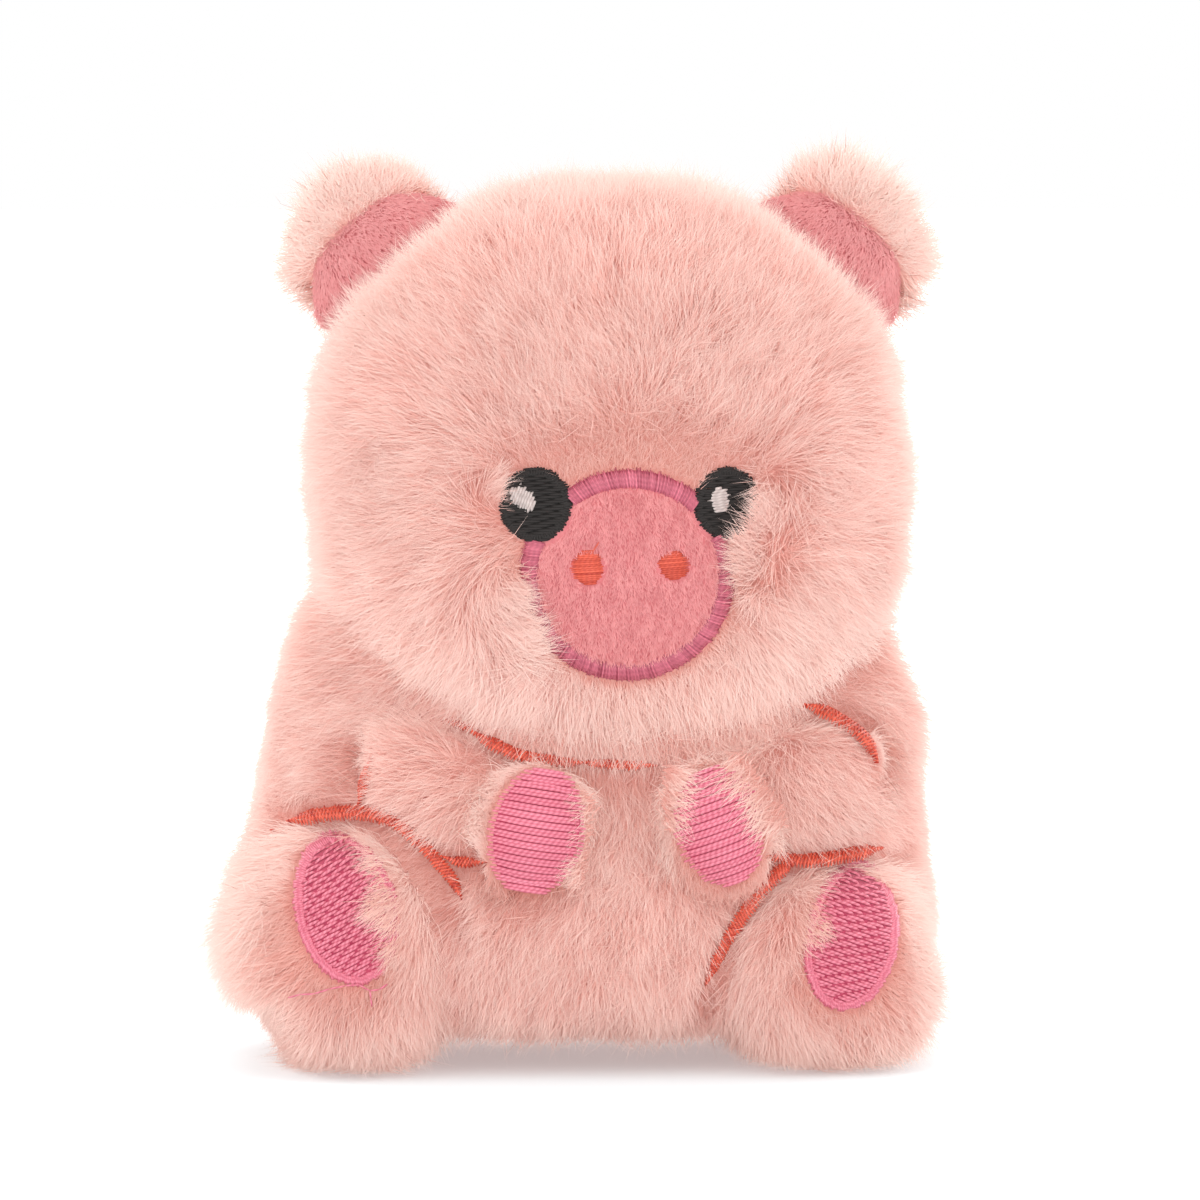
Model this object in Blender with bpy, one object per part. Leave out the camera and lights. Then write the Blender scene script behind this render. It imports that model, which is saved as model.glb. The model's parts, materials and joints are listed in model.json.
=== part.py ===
"""A small standing plush pig, modelled as the separate pieces that a soft-toy maker cuts and sews.

The cover is two furry panels for the head and two for the torso, sewn at the side seams over stuffing.
Stuffed arms, hands, legs, ears and a curled tail swell out of it. Their solids fill the space of the pile.
The snout patch, eyes, pads and outline stitches lie in pockets that the embroidery presses into the pile.

The pig faces -Y and stands on z = 0. Its own left side is at +X. All sizes are in metres.
"""

import math
from collections import namedtuple

import bmesh
import bpy
from mathutils import Matrix, Vector

MM = 0.001

# The cover: how thick a panel is with its pile, and how the pieces lie against each other.
PANEL_WALL = 4.8 * MM
SEAT_GAP = 0.3 * MM
STITCH_THICK = 0.9 * MM
STITCH_SINK = 2.0 * MM
RAISED_THICK = 0.6 * MM
LINE_SINK = 1.2 * MM
STITCH_WIDTH = 0.95 * MM
SEAM_Y = -3.35 * MM
SOLE_CUT = 0.5 * MM

# The head.
HEAD_WIDTH = 58.6 * MM
HEAD_TOP = 87.0 * MM
HEAD_BOTTOM = 29.5 * MM
HEAD_FRONT = 23.0 * MM
HEAD_BACK = 21.0 * MM
HEAD_LEAN = 1.9 * MM
HEAD_TOP_POWER = 2.3
HEAD_CHIN_POWER = 2.4
HEAD_PROFILE_POWER = 2.7
HEAD_PLAN_POWER = 2.15

# The torso, widest at the seat.
TORSO_WIDTH = 70.4 * MM
TORSO_SEAT_Z = 14.0 * MM
TORSO_RISE = 38.0 * MM
TORSO_DROP = 10.5 * MM
TORSO_FRONT = 19.5 * MM
TORSO_BACK = 19.0 * MM
TORSO_TOP_POWER = 4.5
TORSO_SEAT_POWER = 2.4
TORSO_PLAN_POWER = 2.2
TORSO_NARROWING_SHARE = 0.115
CHEST_SLOPE_SHARE = 0.38
PELLET_FILL = 5.0 * MM

# The legs: the pig's right leg sits a little higher than its left one.
LEG_APART = 47.0 * MM
LEG_SHIFT = -0.7 * MM
LEG_WIDTH = 22.0 * MM
LEG_HEIGHT = 24.1 * MM
LEG_DEPTH = 40.0 * MM
LEG_FORWARD = 2.5 * MM
LEG_POWER = 2.3
LEG_TOP_POWER = 2.0
LEG_FRONT_POWER = 2.9
SIDE_LIFT = 1.6 * MM

# The arms reach down and in from the shoulders and end in a hand.
ARM_APART = 32.0 * MM
ARM_SHIFT = 2.7 * MM
ARM_Z = 28.6 * MM
ARM_FORWARD = 13.0 * MM
ARM_LENGTH = 22.8 * MM
ARM_HEIGHT = 12.4 * MM
ARM_DEPTH = 13.0 * MM
ARM_DROOP = math.radians(16)
ARM_POWER = 2.2
HAND_APART = 18.1 * MM
HAND_Z = 24.4 * MM
HAND_FORWARD = 17.6 * MM
HAND_WIDTH = 13.0 * MM
HAND_HEIGHT = 16.2 * MM
HAND_DEPTH = 12.0 * MM
PAD_TURN = math.radians(13)
HAND_PAD_SINK = 1.4 * MM

# The ears, hinged where they are sewn into the seam.
EAR_APART = 44.0 * MM
EAR_BASE_TURN = math.radians(41)
EAR_SEAT = 0.4 * MM
EAR_LENGTH = 18.6 * MM
EAR_HEIGHT = 10.4 * MM
EAR_THICK = 6.0 * MM
EAR_POWER = 2.3
LINING_LENGTH = 15.4 * MM
LINING_HEIGHT = 5.2 * MM
LINING_BASE = 0.4 * MM
LINING_THICK = 1.0 * MM
LINING_SINK = 0.2 * MM

# The curled tail.
TAIL_Z = 15.0 * MM
TAIL_ROOT_RADIUS = 2.0 * MM
TAIL_TIP_RADIUS = 1.0 * MM
TAIL_CURL_RADIUS = 2.7 * MM
TAIL_REACH = 6.5 * MM
TAIL_STANDOFF = 2.6 * MM
TAIL_SEAT = 0.6 * MM
TAIL_TURNS = 1.25
TAIL_RUN_OUT_SHARE = 0.25
TAIL_POINTS = 22

# The face.
FACE_OFFSET = 1.0 * MM
FACE_Z = 50.0 * MM
SNOUT_WIDTH = 21.0 * MM
SNOUT_HEIGHT = 20.8 * MM
SNOUT_POWER = 2.1
BORDER_WIDTH = 1.4 * MM
EYE_APART = 19.3 * MM
EYE_RISE = 7.3 * MM
EYE_WIDTH = 6.9 * MM
EYE_HEIGHT = 7.2 * MM
GLINT_SHIFT = 0.9 * MM
GLINT_RISE = 0.4 * MM
GLINT_WIDTH = 2.1 * MM
GLINT_HEIGHT = 2.5 * MM
NOSTRIL_APART = 8.6 * MM
NOSTRIL_RISE = 0.8 * MM
NOSTRIL_WIDTH = 3.5 * MM
NOSTRIL_HEIGHT = 3.0 * MM

# The pads on the hands and the feet.
HAND_PAD_WIDTH = 9.4 * MM
HAND_PAD_HEIGHT = 12.4 * MM
FOOT_PAD_OUTWARD = 2.1 * MM
FOOT_PAD_DROP = 9.4 * MM
FOOT_PAD_WIDTH = 9.5 * MM
FOOT_PAD_HEIGHT = 13.6 * MM

# The chin line is a smile: it rises by these amounts where it is as far out as CHIN_REACH.
CHIN_Z = 31.2 * MM
CHIN_REACH = 20.0 * MM
CHIN_CURVE = 3.4 * MM
CHIN_FLICK = 3.2 * MM
CHIN_HALF = 9.5 * MM

# The arcs of the outline stitches, in degrees round the lobe that each one borders.
LEG_STITCH_ARC = (12.0, 128.0)
LEG_STITCH_TOP = 90.0
ARM_STITCH_ARC = (112.0, 196.0)
ELBOW_RISE = 0.5 * MM

# How finely things are divided, and how far cutters run past what they cut.
BODY_DIVISIONS = (36, 18)
LIMB_DIVISIONS = (24, 12)
HAND_DIVISIONS = (18, 9)
INSIDE_DIVISIONS = (24, 12)
EAR_DIVISIONS = (24, 12)
OUTLINE_POINTS = 26
ARC_POINTS = 14
OVERRUN = 60.0 * MM

RIGHT, LEFT = -1, 1
SIDES = (("right", RIGHT), ("left", LEFT))

Form = namedtuple(
    "Form",
    "centre half_width front back up down top_power bottom_power profile_power "
    "plan_power narrowing slope turn divisions",
)


def straight_form(centre, sizes, power, turn, divisions):
    """A lobe that is the same on opposite sides, from its width, depth and height."""
    width, depth, height = sizes
    return Form(
        Vector(centre), width / 2, depth / 2, depth / 2, height / 2, height / 2,
        power, power, power, 2.0, 0.0, 0.0, turn, divisions,
    )


def head_form():
    middle = (HEAD_TOP + HEAD_BOTTOM) / 2
    half = (HEAD_TOP - HEAD_BOTTOM) / 2
    return Form(
        Vector((HEAD_LEAN, SEAM_Y, middle)), HEAD_WIDTH / 2, HEAD_FRONT, HEAD_BACK, half, half,
        HEAD_TOP_POWER, HEAD_CHIN_POWER, HEAD_PROFILE_POWER, HEAD_PLAN_POWER, 0.0, 0.0, 0.0,
        BODY_DIVISIONS,
    )


def torso_form():
    return Form(
        Vector((0, SEAM_Y, TORSO_SEAT_Z)), TORSO_WIDTH / 2, TORSO_FRONT, TORSO_BACK,
        TORSO_RISE, TORSO_DROP, TORSO_TOP_POWER, TORSO_SEAT_POWER, TORSO_TOP_POWER,
        TORSO_PLAN_POWER, TORSO_NARROWING_SHARE, CHEST_SLOPE_SHARE, 0.0, BODY_DIVISIONS,
    )


def leg_form(side):
    """A leg whose lowest part lies under the floor by SOLE_CUT, where its sole is cut flat."""
    height = LEG_HEIGHT - side * SIDE_LIFT + SOLE_CUT
    centre = (LEG_SHIFT + side * LEG_APART / 2, SEAM_Y - LEG_FORWARD, height / 2 - SOLE_CUT)
    sizes = (LEG_WIDTH, LEG_DEPTH, height)
    form = straight_form(centre, sizes, LEG_POWER, 0.0, LIMB_DIVISIONS)
    return form._replace(
        top_power=LEG_TOP_POWER, profile_power=LEG_FRONT_POWER, plan_power=LEG_FRONT_POWER
    )


def arm_form(side):
    centre = (ARM_SHIFT + side * ARM_APART / 2, SEAM_Y - ARM_FORWARD, ARM_Z)
    sizes = (ARM_LENGTH, ARM_DEPTH, ARM_HEIGHT)
    return straight_form(centre, sizes, ARM_POWER, -side * ARM_DROOP, LIMB_DIVISIONS)


def hand_form(side):
    centre = (ARM_SHIFT + side * HAND_APART / 2, SEAM_Y - HAND_FORWARD, HAND_Z)
    sizes = (HAND_WIDTH, HAND_DEPTH, HAND_HEIGHT)
    return straight_form(centre, sizes, ARM_POWER, -side * PAD_TURN, HAND_DIVISIONS)


def ear_form():
    """An ear in its own frame: its base line is X, and below that it is a roll about X."""
    roll = EAR_THICK / 2
    return Form(
        Vector((0, 0, 0)), EAR_LENGTH / 2, roll, roll, EAR_HEIGHT, roll,
        EAR_POWER, 2.0, 2.0, 2.0, 0.0, 0.0, 0.0, EAR_DIVISIONS,
    )


def ear_frame(side):
    """The ear's place: on the head's outline at the seam, lifted by EAR_SEAT along the ear's own height."""
    form = head_form()
    across = EAR_APART / 2
    rise = form.up * (1 - (across / form.half_width) ** form.top_power) ** (1 / form.top_power)
    turn = Matrix.Rotation(side * EAR_BASE_TURN, 4, "Y")
    lift = turn @ Vector((0, 0, EAR_SEAT))
    seat = form.centre + Vector((side * across, 0, rise)) + lift
    return Matrix.Translation(seat) @ turn


def power_of(value, power):
    return math.copysign(abs(value) ** power, value)


def form_point(form, unit):
    """A point of the unit sphere carried to the form: each section is a rounded rectangle that swells and tapers."""
    ring = math.hypot(unit.x, unit.y)
    outline = form.top_power if unit.z > 0 else form.bottom_power
    share = power_of(unit.z, 2 / outline)
    width_share = ring ** (2 / outline)
    depth_share = max(0.0, 1 - abs(share) ** form.profile_power) ** (1 / form.profile_power)
    if ring > 0:
        across = power_of(unit.x / ring, 2 / form.plan_power)
        along = power_of(unit.y / ring, 2 / form.plan_power)
    else:
        across = along = 0.0
    high = max(share, 0.0)
    depth = form.front * (1 - form.slope * high) if along < 0 else form.back
    return Vector((
        form.half_width * width_share * across * (1 - form.narrowing * high),
        depth * depth_share * along,
        share * (form.up if share > 0 else form.down),
    ))


def link(obj, collection):
    bpy.data.collections[collection].objects.link(obj)
    if collection == "cutters":
        obj.hide_render = True
        obj.display_type = "WIRE"
    return obj


def smaller(form, by):
    """The form with each of its half sizes less by the same amount."""
    return form._replace(
        half_width=form.half_width - by, front=form.front - by, back=form.back - by,
        up=form.up - by, down=form.down - by,
    )


def form_object(name, form, grow=0.0, frame=None, collection="cutters"):
    """The form as an object: moved out along its normals by grow, or made smaller where grow is negative."""
    if grow < 0:
        form, grow = smaller(form, -grow), 0.0
    mesh = bpy.data.meshes.new(name)
    shape = bmesh.new()
    bmesh.ops.create_uvsphere(
        shape, u_segments=form.divisions[0], v_segments=form.divisions[1], radius=1.0
    )
    for vertex in shape.verts:
        vertex.co = form_point(form, vertex.co)
    bmesh.ops.recalc_face_normals(shape, faces=shape.faces)
    shape.normal_update()
    normals = [vertex.normal.copy() for vertex in shape.verts]
    for vertex, normal in zip(shape.verts, normals):
        vertex.co += normal * grow
    shape.to_mesh(mesh)
    shape.free()
    mesh.shade_smooth()
    obj = link(bpy.data.objects.new(name, mesh), collection)
    placed = Matrix.Translation(form.centre) @ Matrix.Rotation(form.turn, 4, "Y")
    obj.matrix_world = (frame @ placed) if frame else placed
    return obj


def block(name, low, high):
    """A box between two corners, as a cutter."""
    mesh = bpy.data.meshes.new(name)
    shape = bmesh.new()
    bmesh.ops.create_cube(shape, size=1.0)
    size = Vector(high) - Vector(low)
    bmesh.ops.scale(shape, vec=size, verts=shape.verts)
    shape.to_mesh(mesh)
    shape.free()
    obj = link(bpy.data.objects.new(name, mesh), "cutters")
    obj.location = (Vector(high) + Vector(low)) / 2
    return obj


def prism(name, outline, back_y, frame=None):
    """A flat outline in X and Z, run forward from the plane y = back_y."""
    curve = bpy.data.curves.new(name, "CURVE")
    curve.dimensions = "2D"
    curve.fill_mode = "BOTH"
    curve.extrude = OVERRUN / 2
    spline = curve.splines.new("POLY")
    spline.points.add(len(outline) - 1)
    for point, (x, z) in zip(spline.points, outline):
        point.co = (x, z, 0, 1)
    spline.use_cyclic_u = True
    source = bpy.data.objects.new(name + "_outline", curve)
    bpy.context.scene.collection.objects.link(source)
    graph = bpy.context.evaluated_depsgraph_get()
    mesh = bpy.data.meshes.new_from_object(source.evaluated_get(graph))
    bpy.data.objects.remove(source)
    shape = bmesh.new()
    shape.from_mesh(mesh)
    bmesh.ops.remove_doubles(shape, verts=shape.verts, dist=SEAT_GAP / 100)
    bmesh.ops.recalc_face_normals(shape, faces=shape.faces)
    shape.to_mesh(mesh)
    shape.free()
    obj = link(bpy.data.objects.new(name, mesh), "cutters")
    stand = Matrix.Rotation(math.radians(90), 4, "X")
    placed = Matrix.Translation((0, back_y - OVERRUN / 2, 0)) @ stand
    obj.matrix_world = (frame @ placed) if frame else placed
    return obj


def boolean(obj, operation, cutters):
    for cutter in cutters:
        modifier = obj.modifiers.new(cutter.name, "BOOLEAN")
        modifier.operation = operation
        modifier.object = cutter


def cut(obj, *cutters):
    boolean(obj, "DIFFERENCE", cutters)


def keep(obj, *cutters):
    boolean(obj, "INTERSECT", cutters)


def join(obj, *others):
    boolean(obj, "UNION", others)


def paint(obj, name, colour, roughness):
    """Gives the object a material of its own finish, made once for each name."""
    material = bpy.data.materials.get(name)
    if material is None:
        material = bpy.data.materials.new(name)
        material.use_nodes = True
        shader = material.node_tree.nodes["Principled BSDF"]
        shader.inputs["Base Color"].default_value = (*colour, 1.0)
        shader.inputs["Roughness"].default_value = roughness
        shader.inputs["Metallic"].default_value = 0.0
        material.diffuse_color = (*colour, 1.0)
    obj.data.materials.append(material)
    return obj


def fur(obj):
    return paint(obj, "peach fur", (0.87, 0.46, 0.39), 0.95)


def velboa(obj):
    return paint(obj, "pink velboa", (0.81, 0.24, 0.29), 0.9)


def pink_thread(obj):
    return paint(obj, "pink thread", (0.75, 0.17, 0.38), 0.5)


def coral_thread(obj):
    return paint(obj, "coral thread", (0.75, 0.09, 0.05), 0.5)


def black_thread(obj):
    return paint(obj, "black thread", (0.025, 0.023, 0.024), 0.45)


def white_thread(obj):
    return paint(obj, "white thread", (0.75, 0.68, 0.68), 0.45)


def stuffing(obj):
    return paint(obj, "fibre stuffing", (0.9, 0.9, 0.88), 1.0)


def pellets(obj):
    return paint(obj, "pellet bag cloth", (0.8, 0.8, 0.76), 0.8)


def oval(middle, width, height, turn=0.0, grow=0.0, power=2.0):
    """The points of a rounded oval in X and Z, turned so that its top leans towards +X by turn."""
    points = []
    for index in range(OUTLINE_POINTS):
        angle = 2 * math.pi * index / OUTLINE_POINTS
        x = (width / 2 + grow) * power_of(math.cos(angle), 2 / power)
        z = (height / 2 + grow) * power_of(math.sin(angle), 2 / power)
        points.append((
            middle[0] + x * math.cos(turn) + z * math.sin(turn),
            middle[1] - x * math.sin(turn) + z * math.cos(turn),
        ))
    return points


def band(path, grow=0.0):
    """The outline of a stitched line STITCH_WIDTH wide along a path of points in X and Z."""
    points = [Vector(point) for point in path]
    points[0] -= (points[1] - points[0]).normalized() * grow
    points[-1] += (points[-1] - points[-2]).normalized() * grow
    half = STITCH_WIDTH / 2 + grow
    near, far = [], []
    for index, point in enumerate(points):
        before = points[max(index - 1, 0)]
        after = points[min(index + 1, len(points) - 1)]
        along = (after - before).normalized()
        across = Vector((-along.y, along.x)) * half
        near.append(tuple(point + across))
        far.append(tuple(point - across))
    return near + far[::-1]


def lobe_arc(form, side, arc):
    """A path round a lobe's outline, just outside it. Angles run from the pig's middle over the top."""
    reach = SEAT_GAP + STITCH_WIDTH / 2
    path = []
    for index in range(ARC_POINTS):
        angle = math.radians(arc[0] + (arc[1] - arc[0]) * index / (ARC_POINTS - 1))
        x = -side * (form.half_width + reach) * power_of(math.cos(angle), 2 / form.top_power)
        z = (form.up + reach) * power_of(math.sin(angle), 2 / form.top_power)
        turned_x = x * math.cos(form.turn) + z * math.sin(form.turn)
        turned_z = -x * math.sin(form.turn) + z * math.cos(form.turn)
        path.append((form.centre.x + turned_x, form.centre.z + turned_z))
    return path


def chin_path(start, end):
    """Part of the chin line, from one distance beside its middle to another."""
    path = []
    for index in range(ARC_POINTS):
        across = start + (end - start) * index / (ARC_POINTS - 1)
        share = across / CHIN_REACH
        rise = CHIN_CURVE * share**2 + CHIN_FLICK * share**4
        path.append((ARM_SHIFT + across, CHIN_Z + rise))
    return path


def elbow_path(side):
    """The short line under the arm, from the inner half of the leg's outline to the hand."""
    arm, hand = arm_form(side), hand_form(side)
    reach = STITCH_WIDTH / 2 + SEAT_GAP
    underside = arm.centre.z - arm.down - reach
    inner_half = lobe_arc(leg_form(side), side, (LEG_STITCH_ARC[0], LEG_STITCH_TOP))
    level = min(inner_half, key=lambda point: abs(point[1] - underside))
    start = (level[0] - side * reach * 2, level[1])
    end = (hand.centre.x + side * (hand.half_width + SEAT_GAP), level[1] + ELBOW_RISE)
    return [end, start]


def sew_on(name, form, outline, paint_with, carrier, sink, thick, frame=None, holes=()):
    """A flat piece that follows a form's front, at sink below its surface, in a pocket cut in its carrier."""
    piece = form_object(name, form, -sink, frame, "plush_pig")
    cut(piece, form_object(name + "_under", form, -sink - thick, frame))
    back_y = form.centre.y
    keep(piece, prism(name + "_outline", outline(0.0), back_y, frame))
    cut(piece, *holes)
    paint_with(piece)
    if carrier:
        pocket = prism(name + "_pocket", outline(SEAT_GAP), back_y, frame)
        cut(pocket, form_object(name + "_floor", form, -sink - thick - SEAT_GAP, frame))
        cut(carrier, pocket)
    return piece


def half_block(name, front):
    """Everything in front of the side seam, or behind it."""
    low = [-OVERRUN, -OVERRUN, -OVERRUN]
    high = [OVERRUN, OVERRUN, OVERRUN * 2]
    if front:
        high[1] = SEAM_Y - SEAT_GAP / 2
    else:
        low[1] = SEAM_Y + SEAT_GAP / 2
    return block(name, low, high)


def panel_pair(prefix, form, halves, cutters):
    """The front and back panels of a stuffed form, as open shells that meet at the side seam."""
    coarse = form._replace(divisions=INSIDE_DIVISIONS)
    inside = form_object(prefix + "_inside", coarse, -PANEL_WALL)
    panels = []
    for place, half in zip(("front", "back"), halves):
        panel = form_object(f"{prefix}_{place}_panel", form, collection="plush_pig")
        cut(panel, inside)
        keep(panel, half)
        cut(panel, *cutters)
        panels.append(fur(panel))
    return panels


def fill(name, form, paint_with, cutters):
    """What fills a form behind its panels."""
    coarse = form._replace(divisions=INSIDE_DIVISIONS)
    obj = form_object(name, coarse, -PANEL_WALL - SEAT_GAP, collection="plush_pig")
    cut(obj, *cutters)
    return paint_with(obj)


def make_face(head, front_panel):
    """The snout patch with its border and nostrils, and the eyes, which lie over the border's ends."""
    middle_x = HEAD_LEAN + FACE_OFFSET
    eyes = []
    for name, side in SIDES:
        middle = (middle_x + side * EYE_APART / 2, FACE_Z + EYE_RISE)

        def eye_outline(grow, middle=middle):
            return oval(middle, EYE_WIDTH, EYE_HEIGHT, grow=grow)

        sew_on("eye_" + name, head, eye_outline, black_thread, front_panel, STITCH_SINK, STITCH_THICK)
        eyes.append(prism("eye_clearance_" + name, eye_outline(SEAT_GAP), head.centre.y))
        shine = (middle[0] - GLINT_SHIFT, middle[1] + GLINT_RISE)

        def glint_outline(grow, shine=shine):
            return oval(shine, GLINT_WIDTH, GLINT_HEIGHT, grow=grow)

        raised = STITCH_SINK - SEAT_GAP - RAISED_THICK
        sew_on("eye_glint_" + name, head, glint_outline, white_thread, None, raised, RAISED_THICK)

    def snout_outline(grow):
        return oval((middle_x, FACE_Z), SNOUT_WIDTH, SNOUT_HEIGHT, grow=grow, power=SNOUT_POWER)

    def patch_outline(grow):
        return snout_outline(grow - BORDER_WIDTH - SEAT_GAP)

    within = prism("border_inside", snout_outline(-BORDER_WIDTH), head.centre.y)
    split = FACE_Z + EYE_RISE - (EYE_HEIGHT - BORDER_WIDTH) / 4
    low, high = (-OVERRUN, -OVERRUN, -OVERRUN), (OVERRUN, OVERRUN, OVERRUN * 2)
    above = block("above_split", (low[0], low[1], split), high)
    below = block("below_split", low, (high[0], high[1], split))
    sew_on(
        "snout_border_lower", head, snout_outline, pink_thread, front_panel,
        STITCH_SINK, STITCH_THICK, holes=(within, *eyes, above),
    )
    sew_on(
        "snout_border_upper", head, snout_outline, pink_thread, None,
        STITCH_SINK, STITCH_THICK, holes=(within, *eyes, below),
    )
    sew_on(
        "snout_patch", head, patch_outline, velboa, None, STITCH_SINK, STITCH_THICK, holes=eyes
    )
    for name, side in SIDES:
        place = (middle_x + side * NOSTRIL_APART / 2, FACE_Z + NOSTRIL_RISE)

        def nostril_outline(grow, place=place):
            return oval(place, NOSTRIL_WIDTH, NOSTRIL_HEIGHT, grow=grow)

        raised = STITCH_SINK - SEAT_GAP - RAISED_THICK
        sew_on("nostril_" + name, head, nostril_outline, coral_thread, None, raised, RAISED_THICK)


def stitch(name, path, torso, front_panel, holes=()):
    """One coral outline stitch on the torso's front panel."""

    def outline(grow):
        return band(path, grow)

    sew_on(
        name, torso, outline, coral_thread, front_panel, LINE_SINK, STITCH_THICK, holes=holes
    )


def make_leg(name, side, torso_space):
    """A stuffed leg, cut by the torso that it is sewn to and flat where it stands, and its pad."""
    form = leg_form(side)
    leg = form_object("leg_" + name, form, collection="plush_pig")
    low = (-OVERRUN, -OVERRUN, -OVERRUN)
    cut(leg, torso_space, block("floor_" + name, low, (OVERRUN, OVERRUN, 0)))
    fur(leg)
    top = form.centre.z + form.up
    middle = (form.centre.x + side * FOOT_PAD_OUTWARD, top - FOOT_PAD_DROP)

    def outline(grow):
        turn = side * PAD_TURN
        return oval(middle, FOOT_PAD_WIDTH, FOOT_PAD_HEIGHT, turn, grow)

    sew_on(
        "foot_pad_" + name, form, outline, pink_thread, leg, STITCH_SINK, STITCH_THICK,
        holes=[torso_space],
    )


def make_arm(name, side, spaces):
    """A stuffed arm that swells into its hand, and the hand's pad."""
    hand = hand_form(side)
    arm = form_object("arm_" + name, arm_form(side), collection="plush_pig")
    join(arm, form_object("hand_" + name, hand))
    cut(arm, *spaces)
    fur(arm)
    middle = (hand.centre.x, hand.centre.z)

    def outline(grow):
        return oval(middle, HAND_PAD_WIDTH, HAND_PAD_HEIGHT, -side * PAD_TURN, grow)

    sew_on(
        "hand_pad_" + name, hand, outline, pink_thread, arm, HAND_PAD_SINK, STITCH_THICK,
        holes=[spaces[0]],
    )


def make_ear(name, side, root):
    """A furry ear back and its velboa lining, on an empty at the hinge where the ear is sewn in."""
    form = ear_form()
    frame = ear_frame(side)
    hinge = bpy.data.objects.new(f"ear_{name}_hinge", None)
    bpy.data.collections["plush_pig"].objects.link(hinge)
    hinge.matrix_world = frame
    hinge.parent = root
    ear = fur(form_object(f"ear_{name}_back", form, 0.0, frame, "plush_pig"))
    middle = (0.0, LINING_BASE + LINING_HEIGHT / 2)

    def outline(grow):
        return oval(middle, LINING_LENGTH, LINING_HEIGHT, grow=grow, power=EAR_POWER)

    lining = sew_on(
        f"ear_{name}_lining", form, outline, velboa, ear, LINING_SINK, LINING_THICK, frame
    )
    bpy.context.view_layer.update()
    for obj in (ear, lining):
        world = obj.matrix_world.copy()
        obj.parent = hinge
        obj.matrix_parent_inverse = hinge.matrix_world.inverted()
        obj.matrix_world = world


def ear_groove(side):
    """The room that the ear's roll turns in."""
    roll = EAR_THICK / 2
    form = ear_form()._replace(up=roll, top_power=2.0)
    return form_object(f"ear_groove_{side}", form, SEAT_GAP, ear_frame(side))


def tail_place():
    """The middle of the tail's root, on the back of the torso."""
    form = torso_form()
    return Vector((0, SEAM_Y + form.back + TAIL_SEAT, TAIL_Z))


def make_tail():
    """A root bead with a tapered curl that runs out from it and round."""
    place = tail_place()
    curve = bpy.data.curves.new("tail_curl", "CURVE")
    curve.dimensions = "3D"
    curve.bevel_depth = TAIL_ROOT_RADIUS
    curve.bevel_resolution = 2
    curve.use_fill_caps = True
    spline = curve.splines.new("POLY")
    shares = [index / (TAIL_POINTS - 1) for index in range(TAIL_POINTS)]
    spline.points.add(len(shares) - 1)
    for share, point in zip(shares, spline.points):
        angle = 2 * math.pi * TAIL_TURNS * share
        run_out = min(1.0, share / TAIL_RUN_OUT_SHARE)
        radius = TAIL_CURL_RADIUS * run_out
        x = radius * math.sin(angle)
        z = radius * (1 - math.cos(angle))
        point.co = (x, TAIL_STANDOFF * run_out + TAIL_REACH * share, z, 1)
        point.radius = 1 - (1 - TAIL_TIP_RADIUS / TAIL_ROOT_RADIUS) * share
    source = bpy.data.objects.new("tail_curl", curve)
    bpy.context.scene.collection.objects.link(source)
    graph = bpy.context.evaluated_depsgraph_get()
    mesh = bpy.data.meshes.new_from_object(source.evaluated_get(graph))
    bpy.data.objects.remove(source)
    shape = bmesh.new()
    shape.from_mesh(mesh)
    bmesh.ops.remove_doubles(shape, verts=shape.verts, dist=SEAT_GAP / 100)
    bmesh.ops.recalc_face_normals(shape, faces=shape.faces)
    shape.to_mesh(mesh)
    shape.free()
    mesh.shade_smooth()
    tail = link(bpy.data.objects.new("tail", mesh), "plush_pig")
    tail.location = place
    join(tail, bead("tail_root", TAIL_ROOT_RADIUS, place))
    return velboa(tail)


def bead(name, radius, place):
    mesh = bpy.data.meshes.new(name)
    shape = bmesh.new()
    bmesh.ops.create_uvsphere(shape, u_segments=20, v_segments=10, radius=radius)
    shape.to_mesh(mesh)
    shape.free()
    obj = link(bpy.data.objects.new(name, mesh), "cutters")
    obj.location = place
    return obj


def clear_scene():
    for obj in list(bpy.data.objects):
        bpy.data.objects.remove(obj, do_unlink=True)
    for name in ("plush_pig", "cutters"):
        collection = bpy.data.collections.new(name)
        bpy.context.scene.collection.children.link(collection)


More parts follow.
